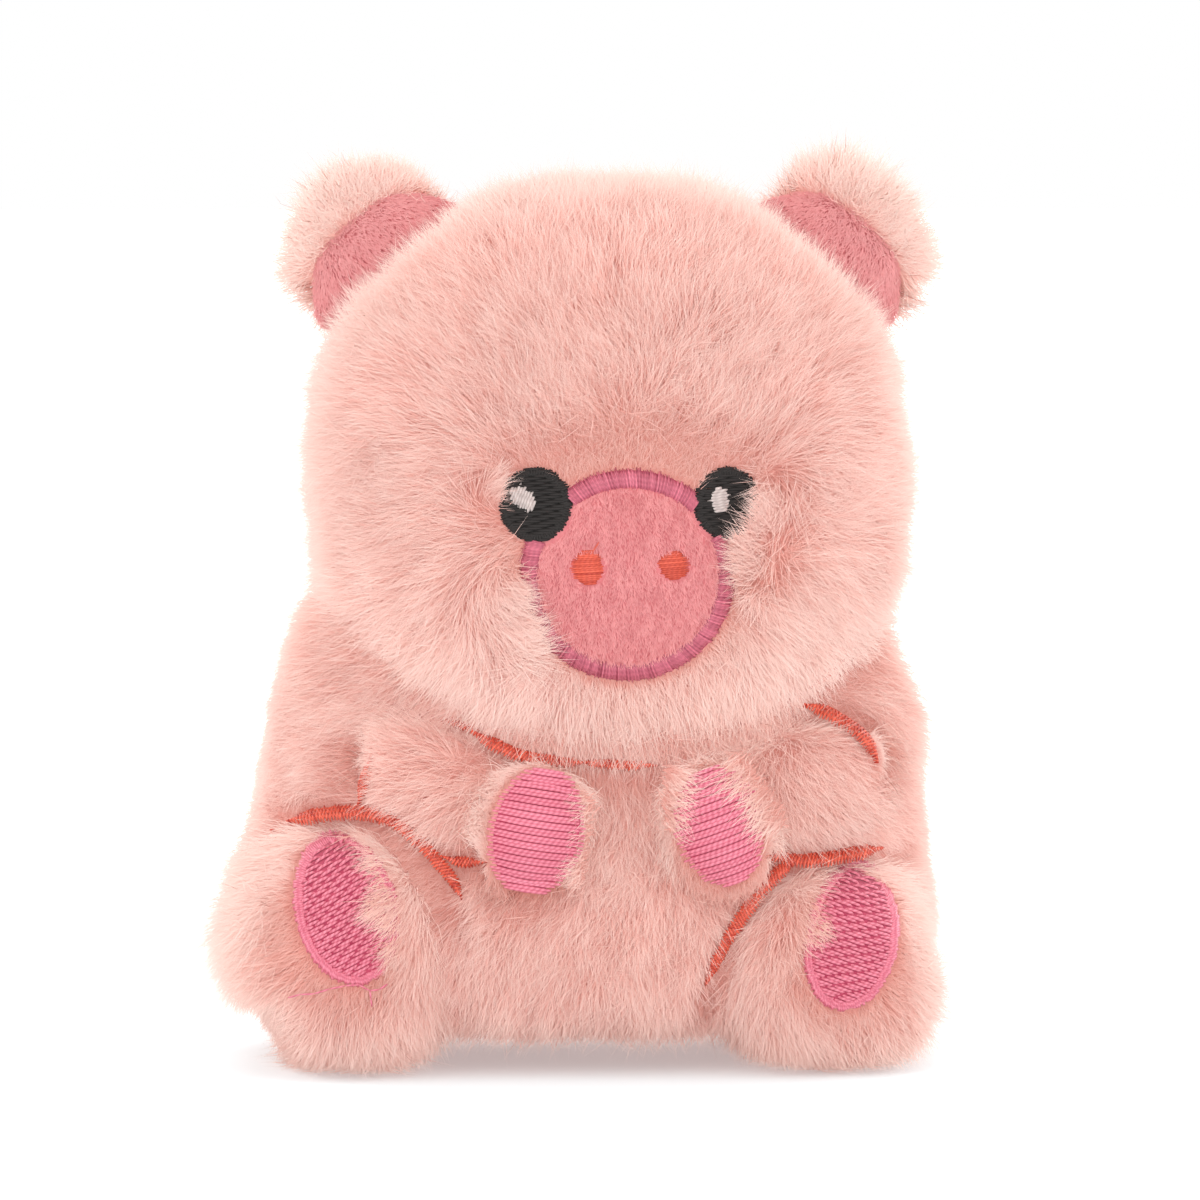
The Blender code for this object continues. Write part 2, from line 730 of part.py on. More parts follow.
def main():
    clear_scene()
    root = bpy.data.objects.new("pig", None)
    bpy.data.collections["plush_pig"].objects.link(root)
    head, torso = head_form(), torso_form()
    head_space = form_object("head_space", head, SEAT_GAP)
    torso_space = form_object("torso_space", torso, SEAT_GAP)
    halves = (half_block("front_half", True), half_block("back_half", False))
    grooves = [ear_groove(side) for _, side in SIDES]
    socket = bead("tail_socket", TAIL_ROOT_RADIUS + SEAT_GAP, tail_place())

    head_front, _ = panel_pair("head", head, halves, grooves)
    torso_front, torso_back = panel_pair("torso", torso, halves, [head_space])
    cut(torso_back, socket)

    bag_top = TORSO_SEAT_Z - TORSO_DROP + PANEL_WALL + SEAT_GAP + PELLET_FILL
    low, high = (-OVERRUN, -OVERRUN, -OVERRUN), (OVERRUN, OVERRUN, OVERRUN * 2)
    over_bag = block("over_bag", (low[0], low[1], bag_top), high)
    under_stuffing = block("under_stuffing", low, (high[0], high[1], bag_top + SEAT_GAP))
    fill("head_stuffing", head, stuffing, [])
    fill("torso_stuffing", torso, stuffing, [head_space, under_stuffing])
    fill("pellet_bag", torso, pellets, [over_bag])

    make_face(head, head_front)
    leg_spaces = []
    for name, side in SIDES:
        make_leg(name, side, torso_space)
        leg_spaces.append(form_object("leg_space_" + name, leg_form(side), SEAT_GAP))
        path = lobe_arc(leg_form(side), side, LEG_STITCH_ARC)
        stitch("leg_stitch_" + name, path, torso, torso_front)
    stitch("elbow_stitch", elbow_path(RIGHT), torso, torso_front)
    path = chin_path(-CHIN_HALF, CHIN_HALF)
    stitch("chin_stitch", path, torso, torso_front, [head_space])
    for name, side in SIDES:
        make_arm(name, side, [torso_space, head_space, *leg_spaces])
        path = lobe_arc(arm_form(side), side, ARM_STITCH_ARC)
        stitch("shoulder_stitch_" + name, path, torso, torso_front, [head_space])
        make_ear(name, side, root)
    make_tail()
    for obj in bpy.data.collections["plush_pig"].objects:
        if obj is not root and obj.parent is None:
            obj.parent = root


main()
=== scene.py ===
"""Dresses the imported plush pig: brushed fur over stuffed forms, short velboa, and satin embroidery.

The pig faces -Y and stands on z = 0, with its own left at +X. Lengths are in metres unless a name ends in _mm.
Fur and velboa are strands of real mesh. Each strand's UV map holds its shade in u and its height in v.
"""

import json
import math

import bpy
import numpy as np
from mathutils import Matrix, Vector


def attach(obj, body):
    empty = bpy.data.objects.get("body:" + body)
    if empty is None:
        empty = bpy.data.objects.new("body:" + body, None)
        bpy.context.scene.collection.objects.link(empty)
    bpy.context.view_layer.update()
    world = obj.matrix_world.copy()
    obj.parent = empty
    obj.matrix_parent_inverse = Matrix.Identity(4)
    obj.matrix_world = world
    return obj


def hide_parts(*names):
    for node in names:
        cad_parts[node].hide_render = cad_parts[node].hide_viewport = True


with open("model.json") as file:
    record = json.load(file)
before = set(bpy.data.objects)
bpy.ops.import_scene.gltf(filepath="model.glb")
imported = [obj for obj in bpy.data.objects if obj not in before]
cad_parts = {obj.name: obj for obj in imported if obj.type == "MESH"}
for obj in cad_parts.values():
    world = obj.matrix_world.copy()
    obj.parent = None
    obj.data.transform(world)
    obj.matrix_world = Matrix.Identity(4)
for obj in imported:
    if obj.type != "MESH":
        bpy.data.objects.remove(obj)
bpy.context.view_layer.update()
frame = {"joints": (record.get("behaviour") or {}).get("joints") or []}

bl_info = {
    "name": "Plush pig",
    "version": (1, 0, 0),
    "blender": (4, 5, 0),
    "location": "3D View > Sidebar > Plush pig",
    "description": "Dresses a plush pig in fur, velboa and embroidery",
    "category": "Object",
}

MM = 0.001
SEED = 7
BAKE_UV = "OFBake"
# How many painted twist highlights one unit of a thread's v holds.
TWISTS = 24
PILE_GLOW = 0.1
UP = np.array([0.0, 0.0, 1.0])

# The forms of the sewn cover, in millimetres, as the solids have them.
SEAM_Y_MM = -3.35
EAR_TURN = math.radians(41)
PAD_TURN = math.radians(13)
ARM_DROOP = math.radians(16)


class Form:
    """A stuffed lobe: each level section is a rounded oval whose width and depth swell and taper with height."""

    def __init__(self, centre, half_width, front, back, up, down, powers, narrowing=0.0, slope=0.0, turn=0.0):
        self.centre = np.array(centre, float)
        self.half_width, self.front, self.back, self.up, self.down = half_width, front, back, up, down
        self.top_power, self.bottom_power, self.profile_power, self.plan_power = powers
        self.narrowing, self.slope, self.turn = narrowing, slope, turn

    def local(self, points):
        """World points in the form's own upright frame: shifted to its centre and turned back about Y."""
        rel = points - self.centre
        c, s = math.cos(self.turn), math.sin(self.turn)
        return np.stack([rel[..., 0] * c - rel[..., 2] * s, rel[..., 1], rel[..., 0] * s + rel[..., 2] * c], -1)

    def world(self, points):
        """The reverse of local."""
        c, s = math.cos(self.turn), math.sin(self.turn)
        turned = np.stack([points[..., 0] * c + points[..., 2] * s, points[..., 1],
                           -points[..., 0] * s + points[..., 2] * c], -1)
        return turned + self.centre

    def section(self, z, by):
        """Half width, front depth and back depth of the level section at local height z, made smaller by `by`."""
        share = np.clip(np.where(z > 0, z / (self.up - by), -z / (self.down - by)), 0.0, 1.0)
        power = np.where(z > 0, self.top_power, self.bottom_power)
        high = np.where(z > 0, share, 0.0)
        width = (self.half_width - by) * (1 - share**power) ** (1 / power) * (1 - self.narrowing * high)
        depth = (1 - share**self.profile_power) ** (1 / self.profile_power)
        return width, (self.front - by) * depth * (1 - self.slope * high), (self.back - by) * depth

    def holds(self, points, by=0.0):
        """True where a world point lies inside the form made smaller by `by`."""
        p = self.local(points)
        width, front, back = self.section(p[..., 2], by)
        depth = np.where(p[..., 1] < 0, front, back)
        within = (p[..., 2] < self.up - by) & (p[..., 2] > by - self.down)
        reach = (np.abs(p[..., 0]) / np.maximum(width, 1e-6)) ** self.plan_power
        reach = reach + (np.abs(p[..., 1]) / np.maximum(depth, 1e-6)) ** self.plan_power
        return within & (reach < 1)

    def front_y(self, x, z, by):
        """The world y of the form's front, made smaller by `by`, over world x and z. Far back where it has none."""
        p = self.local(np.stack([x, np.full_like(x, self.centre[1]), z], -1))
        width, front, _ = self.section(p[..., 2], by)
        share = np.abs(p[..., 0]) / np.maximum(width, 1e-6)
        inside = (share < 1) & (p[..., 2] < self.up - by) & (p[..., 2] > by - self.down)
        y = -front * (1 - np.minimum(share, 1.0) ** self.plan_power) ** (1 / self.plan_power)
        return np.where(inside, self.centre[1] + y, 1e3)

    def grid(self, rows, columns, by=0.0):
        """The form's surface as rows of levels from the bottom pole to the top, each a closed ring, evenly spaced."""
        t = np.linspace(-math.pi / 2, math.pi / 2, 1501)
        power = np.where(t > 0, self.top_power, self.bottom_power)
        share = np.abs(np.sin(t)) ** (2 / power)
        z = np.where(t > 0, share * (self.up - by), -share * (self.down - by))
        width, front, back = self.section(z, by)
        radius = (width + (front + back) / 2) / 2
        run = np.concatenate([[0], np.cumsum(np.hypot(np.diff(z), np.diff(radius)))])
        even = np.interp(np.linspace(0, run[-1], rows), run, t)
        power = np.where(even > 0, self.top_power, self.bottom_power)
        share = np.abs(np.sin(even)) ** (2 / power)
        z = np.where(even > 0, share * (self.up - by), -share * (self.down - by))
        width, front, back = self.section(z, by)
        angle = np.linspace(0, 2 * math.pi, 1201)
        ring = self.ring(angle, self.half_width - by, self.front - by, self.back - by)
        run = np.concatenate([[0], np.cumsum(np.hypot(np.diff(ring[0]), np.diff(ring[1])))])
        angle = np.interp(np.linspace(0, run[-1], columns + 1), run, angle)
        x, y = self.ring(angle[None, :], width[:, None], front[:, None], back[:, None])
        local = np.stack([x, y, np.broadcast_to(z[:, None], x.shape)], -1)
        return self.world(local)

    def ring(self, angle, width, front, back):
        """A rounded oval at an angle from +X: a superellipse with its own depth in front and behind."""
        c, s = np.cos(angle), np.sin(angle)
        x = width * np.sign(c) * np.abs(c) ** (2 / self.plan_power)
        depth = np.where(s < 0, front, back)
        return x, depth * np.sign(s) * np.abs(s) ** (2 / self.plan_power)


def lobe(centre, sizes, power, turn=0.0, top_power=None, front_power=None):
    """A form of that width, depth and height about its centre, with one power unless others are given."""
    width, depth, height = sizes
    powers = (top_power or power, power, front_power or power, front_power or 2.0)
    return Form(centre, width / 2, depth / 2, depth / 2, height / 2, height / 2, powers, turn=turn)


HEAD = Form((1.9, SEAM_Y_MM, 58.25), 29.3, 23.0, 21.0, 28.75, 28.75, (2.3, 2.4, 2.7, 2.15))
TORSO = Form((0, SEAM_Y_MM, 14.0), 35.2, 19.5, 19.0, 38.0, 10.5, (4.5, 2.4, 4.5, 2.2), 0.115, 0.38)
SIDES = (("right", -1), ("left", 1))
LEGS, ARMS, HANDS = {}, {}, {}
for _name, _side in SIDES:
    _tall = 24.1 - _side * 1.6 + 0.5
    LEGS[_name] = lobe((-0.7 + _side * 23.5, SEAM_Y_MM - 2.5, _tall / 2 - 0.5), (22.0, 40.0, _tall), 2.3,
                       top_power=2.0, front_power=2.9)
    ARMS[_name] = lobe((2.7 + _side * 16.0, SEAM_Y_MM - 12.0, 28.6), (22.8, 13.0, 12.4), 2.2, -_side * ARM_DROOP)
    HANDS[_name] = lobe((2.7 + _side * 9.05, SEAM_Y_MM - 17.6, 24.4), (13.0, 12.0, 16.2), 2.2, -_side * PAD_TURN)
BODY_FORMS = [HEAD, TORSO, *LEGS.values(), *ARMS.values(), *HANDS.values()]

# Where the embroidery lies on the front, in millimetres: (x, z) of each outline's middle or points.
SNOUT = {"middle": (2.75, 49.25), "size": (21.2, 21.0), "turn": 0.0}
EYES = {"right": {"middle": (-6.3, 56.25), "size": (7.0, 7.3), "turn": 0.0},
        "left": {"middle": (12.4, 56.3), "size": (6.6, 7.0), "turn": 0.0}}
GLINTS = {"right": {"middle": (-7.5, 56.9), "size": (2.4, 2.9), "turn": -0.35},
          "left": {"middle": (11.6, 56.65), "size": (2.2, 2.6), "turn": 0.0}}
NOSTRILS = {"right": {"middle": (-1.2, 50.2), "size": (3.6, 3.5), "turn": 0.1},
            "left": {"middle": (7.05, 50.4), "size": (3.5, 2.9), "turn": 0.05}}
HAND_PADS = {"right": {"middle": (-6.2, 24.4), "size": (9.2, 13.0), "turn": PAD_TURN},
             "left": {"middle": (11.6, 24.9), "size": (8.6, 12.0), "turn": -PAD_TURN}}
FOOT_PADS = {"right": {"middle": (-24.6, 16.7), "size": (10.2, 14.6), "turn": -PAD_TURN},
             "left": {"middle": (24.7, 13.7), "size": (9.6, 14.4), "turn": PAD_TURN}}
RING_WIDTH_MM = 2.0
# The short fur between and over the eyes.
BROW = {"middle": (2.9, 59.5), "size": (16.0, 5.0), "turn": 0.0}
LINES = {
    "arm_line_right": [(-20.8, 33.0), (-18.4, 34.7), (-15.5, 35.2), (-12.6, 34.2), (-11.0, 33.4)],
    "chin_line": [(-12.2, 33.8), (-9.8, 32.6), (-7.7, 31.6), (-5.8, 31.2), (-3.8, 30.9), (-1.0, 30.7)],
    "chin_line_left": [(-2.0, 30.8), (0.0, 30.7), (3.0, 30.5), (6.0, 30.4)],
    "side_line": [(-22.1, 31.4), (-22.8, 29.0), (-23.3, 26.4)],
    "leg_line_right": [(-30.1, 24.5), (-28.1, 25.3), (-26.2, 25.7), (-22.8, 25.9), (-20.3, 25.2), (-18.4, 24.0),
                       (-16.7, 22.5), (-15.5, 21.0), (-14.2, 19.5), (-13.3, 17.4)],
    "elbow_line_right": [(-15.3, 21.7), (-13.3, 21.1), (-10.9, 21.2)],
    "elbow_line_left": [(15.8, 21.8), (17.7, 21.5), (19.7, 21.1), (22.6, 21.3), (25.6, 21.7), (28.5, 21.7)],
    "leg_line_left": [(19.7, 21.1), (18.2, 20.5), (16.8, 19.3), (15.3, 17.7), (13.8, 15.4), (12.8, 13.9),
                      (12.1, 12.5), (11.2, 10.7), (10.4, 9.0)],
    "shoulder_line_left": [(20.6, 36.0), (22.1, 35.8), (23.6, 35.0), (25.1, 34.2), (26.5, 33.0), (27.2, 31.8),
                           (27.5, 30.5)],
    "neck_line_left": [(25.0, 40.3), (23.1, 38.9), (21.1, 37.4)],
}

# How the fur is combed on the front: at (x, z) its tips point along (dx, dz).
COMB = [
    (3, 88, 0, 1), (-10, 86, -0.3, 1), (17, 87, 0.15, 1), (-16, 77, -0.8, 0.6), (-9, 72, -0.5, 0.85),
    (1, 71, -0.1, 1), (10, 72, 0.25, 1), (19, 74, 0.5, 0.9), (-26, 68, -1, 0.4), (28, 70, 0.9, 0.4),
    (-4, 65, -0.45, 0.75), (10, 65, 0.3, 0.8), (3, 62, 0, 1), (-26, 58, -1, 0.15), (-18, 60, -1, 0.3),
    (-18, 51, -1, -0.1), (-25, 46, -0.95, -0.4), (-15, 44, -0.8, -0.6), (-11, 38, -0.5, -0.9), (-2, 35, -0.1, -1),
    (4, 34, 0, -1), (12, 36, 0.1, -1), (18, 42, 0.35, -0.95), (20, 51, 0.9, -0.35), (25, 58, 1, 0),
    (29, 64, 1, 0.2), (27, 46, 0.75, -0.65), (-28, 37, -0.85, -0.5), (-33, 22, -0.9, -0.45), (-35, 12, -0.9, -0.35),
    (-32, 7, -0.4, -1), (-32, 2, 0.1, -1), (-23, 4, -0.05, -1), (-14, 31, -0.85, -0.25),
    (-17, 26, -0.95, -0.3), (-13, 26, -0.95, -0.35),
    (-1, 28, -0.5, -0.8), (0, 24, -0.75, -0.6), (5, 29, 0.6, -0.7), (5, 24, 0.3, -0.9), (-8, 12, -0.3, -1),
    (0, 12, -0.15, -1), (8, 12, -0.05, -1), (-4, 5, 0, -1), (-19, 17, -0.75, -0.75), (-17, 11, -0.3, -1),
    (-25, 8, -0.35, -0.95), (16, 14, 0.25, -1), (19, 12, 0.65, -0.75), (14, 5, -0.05, -1), (24, 4, 0.35, -0.9),
    (32, 10, 0.8, -0.6), (34, 4, 0.6, -0.7), (18, 31, 0.3, -0.9), (24, 29, 0.65, -0.75), (21, 25, 0.45, -0.75),
    (14, 32, -0.4, -0.85), (30, 30, 0.9, -0.35), (33, 20, 0.9, -0.4),
]

# Fur that leans over the embroidery: round (x, z), within about a radius, tips point along (dx, dz). It keeps that
# share of its length, and its tips are drawn over by the last share of it.
OVERHANGS = [
    (-9.3, 47.4, 1.8, 0.9, 0.1, 0.45, 0.0), (-8.0, 43.0, 1.5, 0.6, 0.4, 0.3, 0.0),
    (14.4, 50.6, 1.6, -0.8, 0.3, 0.45, 0.0), (-10.6, 57.2, 1.0, 0.9, 0.2, 0.3, 0.0),
    (16.6, 54.2, 1.2, -0.7, 0.4, 0.36, 0.0), (16.9, 57.6, 1.0, -0.8, -0.2, 0.24, 0.0),
    (-19.8, 20.8, 1.5, -0.7, -0.6, 0.85, 0.3), (-19.4, 17.6, 1.9, -0.85, -0.5, 0.85, 0.25),
    (-19.2, 13.6, 1.6, -0.85, -0.6, 0.65, 0.15), (20.6, 15.0, 1.2, 0.85, -0.6, 0.45, 0.0),
]
# Locks that lie over the hand pads: the first and the last root, the way they point, and their length.
LOCKS = {"right": [((-1.2, 27.6), (-2.2, 19.4), (-0.95, -0.3), 2.6)],
         "left": [((17.4, 25.6), (13.4, 31.4), (-0.82, -0.57), 4.4), ((6.8, 30.4), (7.2, 24.8), (0.93, -0.37), 3.4)]}

# Outline stitches that are a little narrower, and how deep in the body they lie, in millimetres.
NARROW_LINES = {"arm_line_right": 1.3, "chin_line_left": 0.4, "neck_line_left": 0.1}
LINE_DEPTH_MM = 0.1
# How far inside the head's form each layer of the face lies, in millimetres.
FACE_DEPTH_MM = {"pile": 1.8, "velboa": 1.7, "ring_shadow_sheet": 1.75, "ring": 1.65, "eye_base": 1.65, "eye": 1.55,
                 "glint": 1.45, "nostril": 1.25, "thread_end": 1.0}
SNOUT_DOME_MM = 0.5
SLOPE_STEP_MM = 0.15
# The ear's furry core as shares of its form's width, depth and height.
EAR_CORE = np.array([0.78, 0.72, 0.74])


def smoothstep(low, high, value):
    t = np.clip((value - low) / (high - low), 0.0, 1.0)
    return t * t * (3 - 2 * t)


def unit(vectors):
    return vectors / np.maximum(np.linalg.norm(vectors, axis=-1, keepdims=True), 1e-9)


def lattice_noise(points, cell, seed, channels=1):
    """Smooth noise from -1 to 1: random values on a grid of that cell size, blended by smoothstep between corners."""
    table = np.random.default_rng(seed).uniform(-1, 1, (4096, channels))
    base = np.floor(points / cell).astype(np.int64)
    part = points / cell - base
    part = part * part * (3 - 2 * part)
    total = np.zeros((len(points), channels))
    for dx in (0, 1):
        for dy in (0, 1):
            for dz in (0, 1):
                corner = base + np.array([dx, dy, dz])
                key = (corner[:, 0] * 73856093) ^ (corner[:, 1] * 19349663) ^ (corner[:, 2] * 83492791)
                weight = np.abs(1 - dx - part[:, 0]) * np.abs(1 - dy - part[:, 1]) * np.abs(1 - dz - part[:, 2])
                total += table[key % 4096] * weight[:, None]
    return total


def tuft_centres(points, cell, seed):
    """The nearest of the random tuft centres, one to each cell of a grid, and a random number of that tuft."""
    table = np.random.default_rng(seed).random((4096, 4))
    base = np.floor(points / cell).astype(np.int64)
    best = np.full(len(points), np.inf)
    centre, chance = np.zeros_like(points), np.zeros(len(points))
    for dx in (-1, 0, 1):
        for dy in (-1, 0, 1):
            for dz in (-1, 0, 1):
                corner = base + np.array([dx, dy, dz])
                key = ((corner[:, 0] * 73856093) ^ (corner[:, 1] * 19349663) ^ (corner[:, 2] * 83492791)) % 4096
                place = (corner + table[key, :3]) * cell
                far = ((place - points) ** 2).sum(1)
                nearer = far < best
                best = np.where(nearer, far, best)
                centre = np.where(nearer[:, None], place, centre)
                chance = np.where(nearer, table[key, 3], chance)
    return centre, chance


def oval_gap(shape, x, z):
    """How far a point is outside an oval outline, in millimetres; negative inside."""
    dx, dz = x - shape["middle"][0], z - shape["middle"][1]
    c, s = math.cos(shape["turn"]), math.sin(shape["turn"])
    across, along = dx * c - dz * s, dx * s + dz * c
    reach = np.hypot(across, along)
    share = np.hypot(across / (shape["size"][0] / 2), along / (shape["size"][1] / 2))
    return reach * (1 - 1 / np.maximum(share, 1e-3))


def line_gap(path, x, z):
    """How far a point is from a path of straight runs, in millimetres, and the way that leads from it."""
    points = np.stack([x, z], -1)
    best, away = np.full(len(x), np.inf), np.zeros((len(x), 2))
    for start, end in zip(np.array(path[:-1], float), np.array(path[1:], float)):
        run = end - start
        t = np.clip(((points - start) @ run) / (run @ run), 0, 1)
        rel = points - start - t[:, None] * run
        gap = np.linalg.norm(rel, axis=1)
        away = np.where((gap < best)[:, None], rel, away)
        best = np.minimum(best, gap)
    return best, unit(away)


def comb_direction(points, normals):
    """The way the tips point: the comb guides on the front, and down over the back."""
    x, y, z = points.T
    guides = np.array(COMB, float)
    flow = np.zeros((len(points), 2))
    for gx, gz, dx, dz in guides:
        weight = np.exp(-((x - gx) ** 2 + (z - gz) ** 2) / (2 * 4.2**2)) + 1e-9
        flow += weight[:, None] * np.array([dx, dz]) / math.hypot(dx, dz)
    flow = unit(flow)
    front = np.stack([flow[:, 0], np.full(len(points), 0.22), flow[:, 1]], -1)
    crown = smoothstep(70, 84, z)[:, None]
    behind = np.array([0, 0.55, -1.0]) * (1 - crown) + np.array([0, 1.0, 0.5]) * crown
    ahead = smoothstep(5.0, -7.0, y - SEAM_Y_MM)[:, None]
    return unit(front * ahead + behind * (1 - ahead))


def scatter(grid, count, rng):
    """Random places on a grid surface, as many to each area: cells drawn by size, and points blended inside them."""
    a, b, c, d = grid[:-1, :-1], grid[1:, :-1], grid[1:, 1:], grid[:-1, 1:]
    crossed = np.cross(c - a, b - d)
    size = np.linalg.norm(crossed, axis=-1).ravel()
    cell = rng.choice(size.size, count, p=size / size.sum())
    s, t = rng.random((2, count, 1))
    a, b, c, d = (corner.reshape(-1, 3)[cell] for corner in (a, b, c, d))
    places = (a * (1 - s) + b * s) * (1 - t) + (d * (1 - s) + c * s) * t
    across, along = (d - a) * (1 - s) + (c - b) * s, (b - a) * (1 - t) + (c - d) * t
    normals = unit(np.cross(across, along))
    return places, normals


def grid_area(grid):
    a, b, c, d = grid[:-1, :-1], grid[1:, :-1], grid[1:, 1:], grid[:-1, 1:]
    return np.linalg.norm(np.cross(c - a, b - d), axis=-1).sum() / 2


def new_mesh(name, points_mm, faces, uv=None, normals=None):
    """A mesh object from points in millimetres and an array of triangles or quads."""
    mesh = bpy.data.meshes.new(name)
    faces = np.asarray(faces, np.int32)
    sides = faces.shape[1]
    mesh.vertices.add(len(points_mm))
    mesh.vertices.foreach_set("co", (np.asarray(points_mm) * MM).astype(np.float32).ravel())
    mesh.loops.add(faces.size)
    mesh.loops.foreach_set("vertex_index", faces.ravel())
    mesh.polygons.add(len(faces))
    mesh.polygons.foreach_set("loop_start", np.arange(0, faces.size, sides, dtype=np.int32))
    mesh.update(calc_edges=True)
    if uv is not None:
        layer = mesh.uv_layers.new(name=BAKE_UV)
        layer.data.foreach_set("uv", np.asarray(uv, np.float32)[faces.ravel()].ravel())
    mesh.shade_smooth()
    if normals is not None:
        mesh.normals_split_custom_set_from_vertices(np.asarray(normals, np.float32))
    obj = bpy.data.objects.new(name, mesh)
    bpy.context.scene.collection.objects.link(obj)
    return obj


def grid_mesh(name, grid, material):
    """A closed grid surface, its poles drawn to single points."""
    rows, columns = grid.shape[0], grid.shape[1] - 1
    ring = grid[1:-1, :-1].reshape(-1, 3)
    bottom, top = grid[0].mean(0), grid[-1].mean(0)
    points = np.concatenate([ring, [bottom, top]])
    row, column = np.meshgrid(np.arange(rows - 3), np.arange(columns), indexing="ij")
    after = (column + 1) % columns
    a, b = row * columns + column, row * columns + after
    c, d = b + columns, a + columns
    quads = np.stack([a, b, c, d], -1).reshape(-1, 4)
    first, last = len(ring), len(ring) + 1
    column = np.arange(columns)
    after = (column + 1) % columns
    above = (rows - 3) * columns
    caps = np.concatenate([
        np.stack([np.full(columns, first), after, column], -1),
        np.stack([np.full(columns, last), above + column, above + after], -1),
    ])
    triangles = np.concatenate([quads[:, [0, 1, 2]], quads[:, [0, 2, 3]], caps])
    obj = new_mesh(name, points, triangles)
    obj.data.materials.append(material)
    return obj


def strand_mesh(name, roots, normals, lean, lengths, lift, widths, shade, rng, steps=3, tuft=None, material=None,
                curl=0.0, tone=1.0, lit=None, pale=0.0):
    """Tapered flat strands of `steps` lengths.

    Each leaves its root at lift[0] from the skin and bends to lift[1] along lean. Its points drift towards its tuft
    with height and swing aside by curl, its width falls to a single tip, and it stays over the floor. Tone is the
    share of the colours from root to tip that it shows, pale how much nearer the tip's they all are, and lit its
    shading normal.
    """
    count = len(roots)
    lit = normals if lit is None else lit
    start, end = lift
    place = roots.copy()
    floor = rng.uniform(0.05, 0.35, (count, 1))
    middle = ((start + end) / 2)[:, None]
    broad = unit(np.cross(normals * np.sin(middle) + lean * np.cos(middle), lit))
    swing = broad * (rng.normal(0, 1, (count, 1)) * curl)
    phase = rng.uniform(0, 2 * math.pi, (count, 1))
    rows = []
    roll = rng.normal(0, 0.25, count)
    for step in range(steps + 1):
        share = step / steps
        angle = start + (end - start) * share
        along = unit(normals * np.sin(angle)[:, None] + lean * np.cos(angle)[:, None])
        if step:
            middle = start + (end - start) * (share - 0.5 / steps)
            bent = normals * np.sin(middle)[:, None] + lean * np.cos(middle)[:, None]
            place = place + bent * (lengths / steps)[:, None]
        centre = place + swing * (np.sin(phase + 4.2 * share) - np.sin(phase)) * share
        if tuft is not None:
            centre = centre + tuft * share**1.3
        centre = np.concatenate([centre[:, :2], np.maximum(centre[:, 2:], floor)], 1)
        face = unit(np.cross(broad, along))
        side = broad * np.cos(roll)[:, None] + face * np.sin(roll)[:, None]
        half = (widths * (1 - 0.7 * share**1.6) / 2)[:, None]
        shown = unit(lit * 0.7 + face * 0.4)
        if step < steps:
            rows += [(centre - side * half, shown, share, -1), (centre + side * half, shown, share, 1)]
        else:
            rows.append((centre, shown, share, 0))
    each = len(rows)
    points = np.stack([row[0] for row in rows], 1).reshape(-1, 3)
    shown = np.stack([row[1] for row in rows], 1).reshape(-1, 3)
    u = np.stack([shade + 0.012 * row[3] for row in rows], 1).reshape(-1)
    height = np.array([row[2] for row in rows]) * np.broadcast_to(tone, count)[:, None]
    v = (np.clip(height + np.broadcast_to(pale, count)[:, None], 0.0, 1.0) * 0.96 + 0.02).reshape(-1)
    pattern = []
    for step in range(steps - 1):
        k = 2 * step
        pattern += [(k, k + 1, k + 3), (k, k + 3, k + 2)]
    pattern.append((2 * steps - 2, 2 * steps - 1, 2 * steps))
    faces = (np.arange(count)[:, None, None] * each + np.array(pattern)[None]).reshape(-1, 3)
    obj = new_mesh(name, points, faces, np.stack([u, v], -1), shown)
    obj.data.materials.append(material)
    return obj


def node_group(name, sockets_in, sockets_out):
    group = bpy.data.node_groups.new(name, "ShaderNodeTree")
    for label, kind, value in sockets_in:
        socket = group.interface.new_socket(label, in_out="INPUT", socket_type=kind)
        socket.default_value = value
    for label, kind in sockets_out:
        group.interface.new_socket(label, in_out="OUTPUT", socket_type=kind)
    return group, group.nodes.new("NodeGroupInput"), group.nodes.new("NodeGroupOutput")


